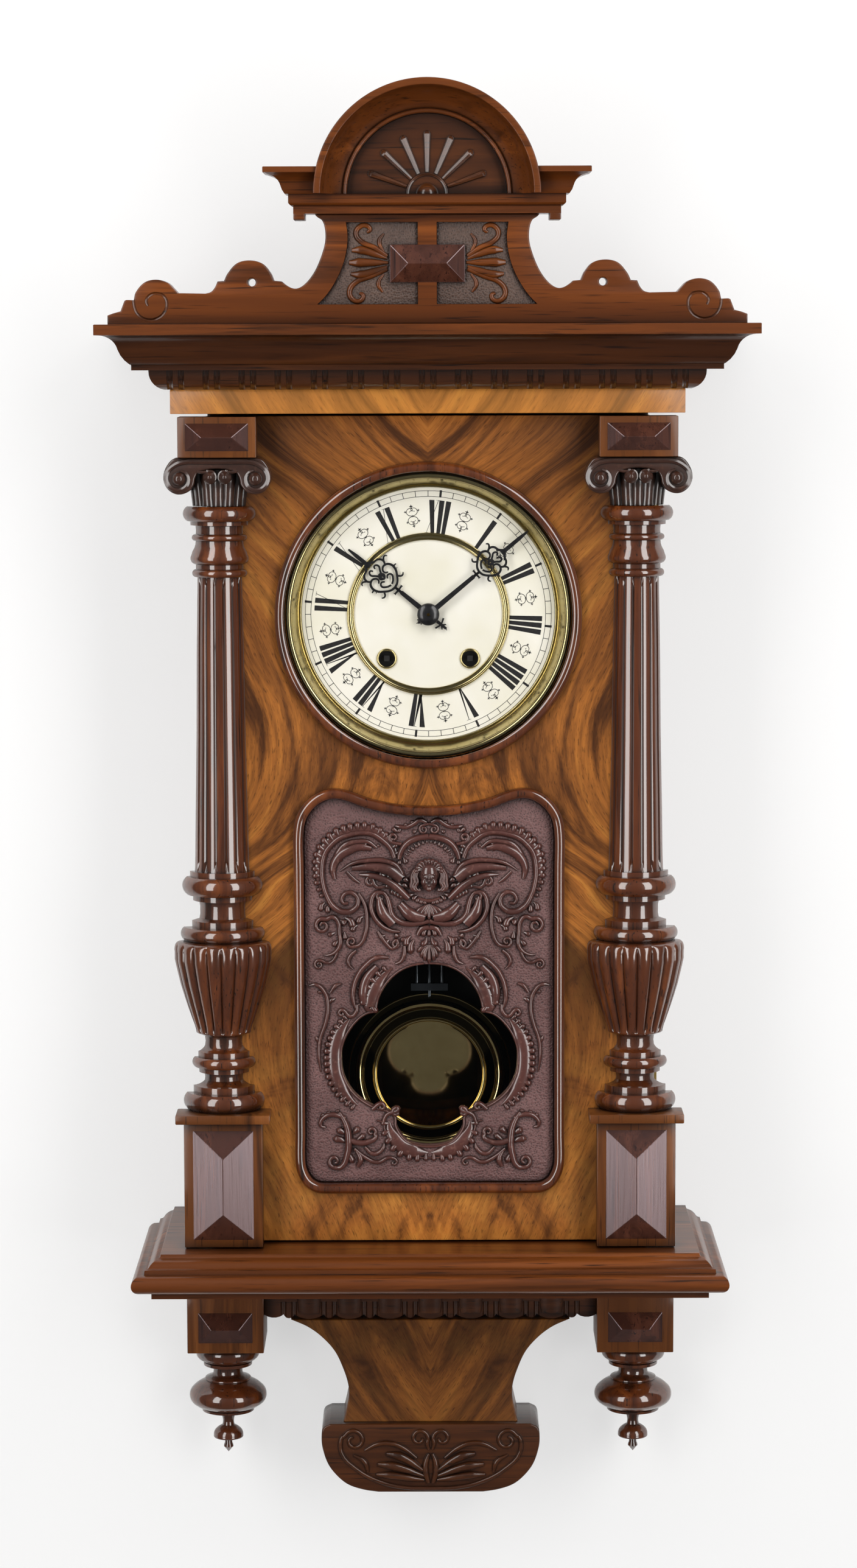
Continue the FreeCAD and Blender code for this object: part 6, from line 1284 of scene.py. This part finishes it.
def cut(piece, tool):
    """The tool's shape is taken out of the piece."""
    pick(piece)
    knife = piece.modifiers.new("cut", "BOOLEAN")
    knife.operation, knife.solver, knife.object = "DIFFERENCE", "EXACT", tool
    bpy.ops.object.modifier_apply(modifier="cut")
    pick(tool)
    bpy.ops.object.delete()
    return piece


def with_plate_room(piece):
    """Room for the hanging plate is cut out of the piece's back."""
    return cut(piece, block(-32.2, 32.2, -2, 12.2, 130, 190, 0.1))


FRIEZE_HALF_W, FRIEZE_FRONT, FRIEZE_TOP_H, CORNICE_TOP_H, WAVE_TOP_H = 169.7, 136.0, 151.0, 193.5, 186.3
frieze = block(-FRIEZE_HALF_W, FRIEZE_HALF_W, 0, FRIEZE_FRONT, 135.0, FRIEZE_TOP_H, 0.4)
hung(with_plate_room(frieze), "veneered_frieze", "case", VENEER, "veneer_walnut", "frieze")
BAND = [(3.5, 151.0), (13.0, 162.9, 0.36), (13.0, 163.8)]
band = mitred(BAND, FRIEZE_HALF_W, FRIEZE_FRONT)
FLUTE_PAIRS, FLUTE_PITCH, FLUTE_W, FLUTE_SPACING = 15, 23.6, 4.2, 7.4
flutes = []
for k in range(FLUTE_PAIRS):
    for s in (-1, 1):
        x = (k - (FLUTE_PAIRS - 1) / 2) * FLUTE_PITCH + s * FLUTE_SPACING / 2
        path = [(1.0, 149.6)] + [tuple(p) for p in arcs(BAND[:2], 12)] + [(13.0, 166.0)]
        flutes.append([(at(x, FRIEZE_FRONT + out + 0.1, h - 0.3), FLUTE_W / 2) for out, h in path])
flutes = meshed(drawn(flutes, bevel_depth=mm, bevel_resolution=3, use_fill_caps=True))
band = with_plate_room(cut(band, flutes))
hung(band, "gadrooned_band", "case", BLOCK, "moulding_walnut", "fluted_band")
CORNICE = [
    (23.5, 163.8), (23.5, 167.0), (24.4, 167.6, -0.3), (31.6, 177.2, 0.16), (41.0, 186.2, -0.3), (42.6, 186.4),
    (46.0, 186.6), (46.0, 193.1), (45.6, 193.5)]
cornice = with_plate_room(mitred(CORNICE, FRIEZE_HALF_W, FRIEZE_FRONT))
# The wave moulding under the slab is darkened as painted shade.
CORNICE_WALNUT = walnut("cornice_walnut", tint("#804417"), tint("#5C2E0E"), tint("#2A1405"), 1.6, 0.5, 0.4,
                        painted_shade_below=WAVE_TOP_H)
hung(cornice, "wave_cornice", "case", CORNICE_WALNUT, "moulding_walnut", "cornice")

# Crest. A walnut board fretted with scrolled ends and pierced ears, with palmettes on a sunk
# and punched tablet. It carries a small mitred entablature and a turned arch over a sunburst.
CREST_REAR, CREST_FACE, ENTAB_LOW_H, ARCH_H = 100.0, 120.0, 261.5, 278.3
CREST_LEFT = [
    (123, 510, 1), (123, 474, 1), (150, 464), (180, 456, 1), (197, 410, 1), (206, 406), (238, 407, 1),
    (247, 372), (284, 330), (335, 317), (384, 330), (412, 356), (430, 376, 1), (552, 378, 1), (575, 371),
    (592, 352), (604, 325, 1), (632, 323, 1), (648, 290), (688, 246), (742, 233), (798, 246), (834, 286),
    (850, 322, 1), (884, 325, 1), (902, 340), (926, 353), (950, 356), (976, 344), (1006, 314), (1034, 270),
    (1060, 206), (1074, 150), (1073, 96), (1060, 58), (1030, 33)]
CREST_X, CREST_Y, CREST_SCALE = 130, 340, 2.658


def on_crest(*points):
    """Places on the crest's left half, in mm, from the squared sheet it is drawn on."""
    return [(*seen(CREST_X + x / CREST_SCALE, CREST_Y + y / CREST_SCALE, CREST_FACE), *more)
            for x, y, *more in points]


left = [(x, max(h, CORNICE_TOP_H), *c) for x, h, *c in on_crest(*CREST_LEFT)]
left = [(left[0][0], CORNICE_TOP_H, 1)] + left[1:] + [(-71.0, ENTAB_LOW_H + 4.2, 1)]
right = [(-x, *rest) for x, *rest in reversed(left)]
crest_line = flowing(left + right)
ears = [ringed(2.6, s * 115.9, 221.0, 24) for s in (-1, 1)]
crest = sawn([crest_line, *ears], CREST_REAR, CREST_FACE, 0.9)
FIELD_FACE, DIAMOND_H = 117.2, 233.2
field = on_crest((1165, 66), (1172, 130), (1165, 200), (1145, 270), (1110, 340), (1075, 390), (1040, 426))
FIELD_X = -6.2
field += [(FIELD_X, field[-1][1]), (FIELD_X, field[0][1])]
field = flowing([(*place, 1) if k in (0, 6, 7, 8) else place for k, place in enumerate(field)])
fields = [field, [Vector((-p.x, p.y)) for p in reversed(field)]]
crest = cut(crest, joined([sawn([line], FIELD_FACE, CREST_FACE + 3, 0.2) for line in fields]))
VOLUTE = on_crest((232, 380, 0.9), (237, 407, 1.0), (242, 440, 1.0), (262, 475, 1.0), (300, 493, 1.0),
                  (345, 485, 1.0), (375, 455, 1.0), (383, 420, 1.0), (370, 390, 1.0), (340, 378, 1.0),
                  (310, 385, 1.0), (293, 410, 1.0), (300, 432, 0.8))
grooves = [[(at(s * x, CREST_FACE + 0.2, h), w * 1.1) for x, h, w in VOLUTE] for s in (-1, 1)]
grooves = drawn(grooves, "BEZIER", bevel_depth=mm, bevel_resolution=2, resolution_u=3, use_fill_caps=True)
crest = cut(crest, meshed(grooves))
hung(crest, "fretted_crest_board", "case", MOULDING, "moulding_walnut", "crest_board")
grounds = joined([sawn([shifted(line, 0.15)], FIELD_FACE - 0.6, FIELD_FACE + 0.35, 0.1) for line in fields])
hung(grounds, "punched_tablet_grounds", "case", TABLET, "carved_walnut")
palmettes = [on_crest(*line) for line in (
    [(1350, 243, 0.8), (1290, 243, 2.0), (1220, 243, 2.7), (1178, 243, 1.2)],
    [(1345, 226, 0.8), (1290, 205, 1.9), (1228, 188, 2.4), (1190, 190, 1.0)],
    [(1345, 260, 0.8), (1290, 280, 1.9), (1228, 296, 2.4), (1186, 292, 1.0)],
    [(1345, 215, 1.2), (1290, 178, 1.5), (1230, 150, 1.5), (1208, 118, 1.5), (1222, 88, 1.5), (1252, 80, 1.4),
     (1270, 98, 1.3), (1256, 112, 0.9)],
    [(1345, 272, 1.2), (1270, 304, 1.5), (1206, 330, 1.5), (1180, 370, 1.6), (1196, 406, 1.5), (1228, 410, 1.4),
     (1240, 386, 1.3), (1224, 376, 0.9)],
    [(1330, 196, 0.7), (1310, 150, 1.3), (1330, 116, 0.7)],
    [(1330, 292, 0.7), (1306, 336, 1.3), (1326, 372, 0.7)])]
palmettes = [[(x, h, w * 1.25) for x, h, w in line] for line in palmettes]
relief = carved(mirrored_too(palmettes), FIELD_FACE + 0.3, rise=0.75, steps=4)
hung(relief, "tablet_palmettes", "case", MOULDING,
     "carved_walnut", crease=75)

ENTAB = [
    (8.0, 265.6), (8.0, 270.4), (9.0, 270.8), (11.2, 272.6, 0.2), (11.2, 278.0), (13.4, 278.4),
    (16.0, 283.6, 0.12), (22.4, 290.4, -0.26), (25.6, 291.6), (27.3, 291.9), (27.3, 295.2), (26.9, 295.6)]
entab = mitred(ENTAB, 80.0, CREST_FACE, CREST_REAR)
seat = spun([(0, 90.0), (74.3, 90.0), (74.3, 160.0), (0, 160.0)], at(0, 0, ARCH_H), "Y", 64, 180)
entab = cut(entab, seat)
consoles = [block(*sorted((s * 80.4, s * 88.0)), CREST_REAR, 128.0, ENTAB_LOW_H, 266.0, 0.6) for s in (-1, 1)]
hung(joined([entab, *consoles]), "mitred_entablature", "case", MOULDING, "moulding_walnut", "crest_cornice")

ARCH = [
    (52.6, 100.0), (52.6, 128.6), (55.6, 128.6, -0.9), (55.8, 127.8), (69.4, 147.6, 0.24), (69.6, 149.4),
    (70.2, 150.0, -0.3), (73.7, 150.0), (74.3, 149.4, -0.3), (74.3, 100.0), (52.6, 100.0)]
hung(spun(ARCH, at(0, 0, ARCH_H), "Y", 96, 180), "turned_arch", "case", MOULDING, "moulding_walnut",
     "crest_arch")
SUN_FACE = 123.0
SUN = [
    (0, 100.0), (52.3, 100.0), (52.3, 123.0), (13.8, 123.0), (13.8, 124.0), (12.9, 124.6, -0.4), (12.0, 124.2),
    (11.8, 123.4), (7.4, 123.4), (7.2, 124.0), (0, 130.2, 0.4142)]
rays = []
for k in range(7):
    a = math.radians(20 + 140 * k / 6)
    rays.append([(r * math.cos(a), ARCH_H + r * math.sin(a), w) for r, w in (
        (14.4, 1.3), (20.0, 1.7), (34.0, 2.2), (39.0, 2.5), (40.7, 1.7), (41.3, 0.6))])
sun = [spun(SUN, at(0, 0, ARCH_H), "Y", 96, 180), carved(rays, SUN_FACE, rise=1.0, steps=4)]
hung(joined(sun), "carved_sunburst", "case", BLOCK, "carved_walnut", "sunburst")

# Base. A mitred bullnose moulding carries the columns, with squared blocks, a gadrooned rail
# and turned finials below. The planed diamonds of the blocks and of the crest are like ones.
BASE_HALF_W, BASE_FRONT, BASE_LOW_H = 181.0, 147.0, -456.2
BASE = [
    (6.1, -456.2), (6.1, -451.2), (14.6, -450.6), (14.8, -438.9, 0.72), (10.6, -438.6), (10.2, -435.6),
    (7.6, -434.4, -0.2), (1.2, -429.6, 0.22), (0.2, -428.4), (0.0, -427.0)]
hung(mitred(BASE, BASE_HALF_W, BASE_FRONT), "mitred_base_moulding", "case", MOULDING, "moulding_walnut",
     "base_moulding")
LOW_BLOCK_X, LOW_BLOCK_FRONT, LOW_BLOCK_END_H = 142.6, 60.0, -518.1
low_blocks, low_diamonds, finials = [], [], []
FINIAL = [
    (0, -596.6), (3.4, -592.6), (3.3, -591.4), (2.6, -589.6), (2.7, -586.2), (9.8, -585.8), (10.4, -584.4, 0.4),
    (8.4, -579.4, 0.25), (4.3, -576.8, 0.1), (3.9, -574.8), (4.3, -571.2, -0.1), (6.0, -567.8, -0.15),
    (10.0, -566.4), (18.2, -565.8), (18.3, -564.2), (17.6, -563.8), (23.8, -560.8, 0.12), (27.1, -555.4, 0.25),
    (24.4, -549.0, 0.25), (17.4, -544.6, 0.12), (15.8, -543.8), (15.8, -542.2, 0.4), (12.4, -541.0),
    (10.2, -538.4, -0.25), (10.2, -536.0), (10.8, -533.6, -0.1), (17.0, -533.0), (17.2, -530.8), (14.8, -530.4),
    (19.4, -529.0, 0.2), (22.2, -525.2, 0.25), (22.0, -521.0, 0.2), (19.8, -518.1), (0, -518.1)]
for x in (-LOW_BLOCK_X, LOW_BLOCK_X):
    low_blocks.append(block(x - 26.6, x + 26.6, 0, LOW_BLOCK_FRONT, LOW_BLOCK_END_H, BASE_LOW_H, 0.6))
    low_diamonds.append(facets(x, -500.0, half_w=19.0, half_h=10.8, ridge=9.6, base=LOW_BLOCK_FRONT,
                               high=DIAMOND_RISE))
    finials.append(spun(FINIAL, at(x, LOW_BLOCK_FRONT / 2, 0), "Z", 72))
low_diamonds.append(facets(0, DIAMOND_H, half_w=24.6, half_h=12.2, ridge=12.8, base=CREST_FACE, high=7.5))
low_diamonds.append(block(-24.7, 24.7, FIELD_FACE - 0.4, CREST_FACE + 0.1, DIAMOND_H - 12.3, DIAMOND_H + 12.3,
                          0.2))
hung(joined(low_blocks), "squared_low_blocks", "case", BLOCK_UPRIGHT, "block_walnut", "lower_blocks")
hung(joined(low_diamonds), "case_diamonds", "case", FACET, "facet_walnut", "case_pyramids", crease=6)
hung(joined(finials), "turned_finials", "case", TURNED, "moulding_walnut", "finials")

RAIL_HALF_W, RAIL_FRONT, RAIL_END_H, SCALLOP_H, RAIL_PAIRS, RAIL_PITCH = 116.0, 50.0, -496.6, -493.2, 8, 28.2


def gouge(start, end, r):
    """A round gouge's cut between two places."""
    pick(camera)
    bpy.ops.mesh.primitive_cylinder_add(vertices=20, radius=r * mm, depth=(end - start).length,
                                        location=(start + end) / 2,
                                        rotation=(end - start).to_track_quat("Z", "Y").to_euler())
    settle(bpy.context.object)
    return bpy.context.object


rail_edge = [(-RAIL_HALF_W, BASE_LOW_H), (-RAIL_HALF_W, SCALLOP_H)]
cuts = []
for k in range(RAIL_PAIRS):
    x = (k - (RAIL_PAIRS - 1) / 2) * RAIL_PITCH
    rail_edge += [(x - FLUTE_SPACING / 2, SCALLOP_H, 0.32), (x + FLUTE_SPACING / 2, SCALLOP_H, 0.7)]
    for s in (-1, 1):
        flute_x = x + s * FLUTE_SPACING / 2
        cuts.append(gouge(at(flute_x, RAIL_FRONT + 0.5, -498.6), at(flute_x, RAIL_FRONT + 0.5, -483.8),
                          FLUTE_W / 2))
rail_edge += [(RAIL_HALF_W, SCALLOP_H, 0.32), (RAIL_HALF_W, BASE_LOW_H)]
rail = sawn([arcs(rail_edge, 15)], 0, RAIL_FRONT, 0.8)
LOBE = ((-462.0, 8.0), (-486.0, 8.2), (-491.6, 7.4))
lobes = [[(at((k - (RAIL_PAIRS - 2) / 2) * RAIL_PITCH, RAIL_FRONT - 0.4, h), w) for h, w in LOBE]
         for k in range(RAIL_PAIRS - 1)]
lobes = meshed(drawn(lobes, bevel_depth=mm, bevel_resolution=6, use_fill_caps=True))
with shaping(lobes):
    bpy.ops.transform.resize(value=(1, 0.45, 1), center_override=at(0, RAIL_FRONT - 0.4, 0))
rail = joined([cut(rail, joined(cuts)), lobes])
hung(rail, "gadrooned_rail", "case", BLOCK, "moulding_walnut", "lower_rail")

# Apron. A waisted neck sawn from board and veneered like the door, and a tail with two
# scrolls and a palmette carved in low relief.
NECK_HALF_W, NECK_HIGH, TAIL_HALF_W, TAIL_HIGH, TAIL_FRONT = 97.3, 73.3, 76.3, 48.8, 56.0
NECK = [(1.0, 0.0, 1), (0.876, -0.075), (0.774, -0.177), (0.685, -0.314), (0.627, -0.48), (0.592, -0.634),
        (0.588, -0.753), (0.605, -0.87), (0.627, -1.0, 1)]
TAIL = [(0.92, 0.0, 1), (0.985, -0.06), (1.0, -0.2), (0.99, -0.36), (0.941, -0.588), (0.86, -0.76),
        (0.758, -0.89), (0.62, -0.965), (0.48, -1.0, 1)]
TAIL_TOP_H = RAIL_END_H - NECK_HIGH
neck_line = flowing(both([(x * NECK_HALF_W, RAIL_END_H + h * NECK_HIGH, *c) for x, h, *c in NECK]))
tail_line = flowing(both([(x * TAIL_HALF_W, TAIL_TOP_H + h * TAIL_HIGH, *c) for x, h, *c in TAIL]))
hung(sawn([neck_line], 0, RAIL_FRONT, 0.8), "waisted_neck", "case", VENEER, "veneer_walnut", "apron_neck")
tail_strokes = []
for line in (
    [(0, -616.0, 1.2), (18, -615.4, 1.2), (36, -611.0, 1.2), (52, -602.0, 1.2), (62.5, -590.0, 1.2),
     (62.0, -579.0, 1.2)]
    + spiral(53.6, -581.6, 8.0, 2.6, 1.15, 20, 1.2, 0.9, 1),
    [(1.2, -588.0, 0.8)] + spiral(7.8, -580.0, 6.6, 2.2, 1.1, 215, 1.2, 0.9, -1),
    [(46.0, -588.6, 0.8), (38.0, -584.4, 1.4), (28.0, -583.6, 1.5), (18.0, -587.6, 1.4), (10.0, -594.0, 0.9)],
    [(4.0, -604.0, 0.9), (12.0, -598.0, 2.2), (22.0, -592.6, 2.6), (31.0, -591.0, 1.2)],
    [(4.6, -607.0, 0.9), (15.0, -603.0, 2.2), (27.0, -599.6, 2.6), (37.0, -598.6, 1.2)],
    [(4.6, -610.0, 0.9), (15.0, -608.4, 2.0), (28.0, -606.4, 2.3), (38.0, -606.0, 1.0)],
    [(1.6, -612.0, 1.2), (3.6, -604.0, 1.8), (3.4, -597.0, 1.6), (1.2, -591.0, 1.0)],
    [(54.0, -592.0, 0.7), (46.0, -597.0, 1.6), (44.0, -604.0, 0.9)],
):
    tail_strokes.append([(x, h, w * 1.3) for x, h, w in line])
tail = [sawn([tail_line], 0, TAIL_FRONT, 1.0), carved(mirrored_too(tail_strokes), TAIL_FRONT, rise=1.1, steps=4)]
hung(joined(tail), "carved_tail", "case", BLOCK, "moulding_walnut", "apron_tail", crease=60)
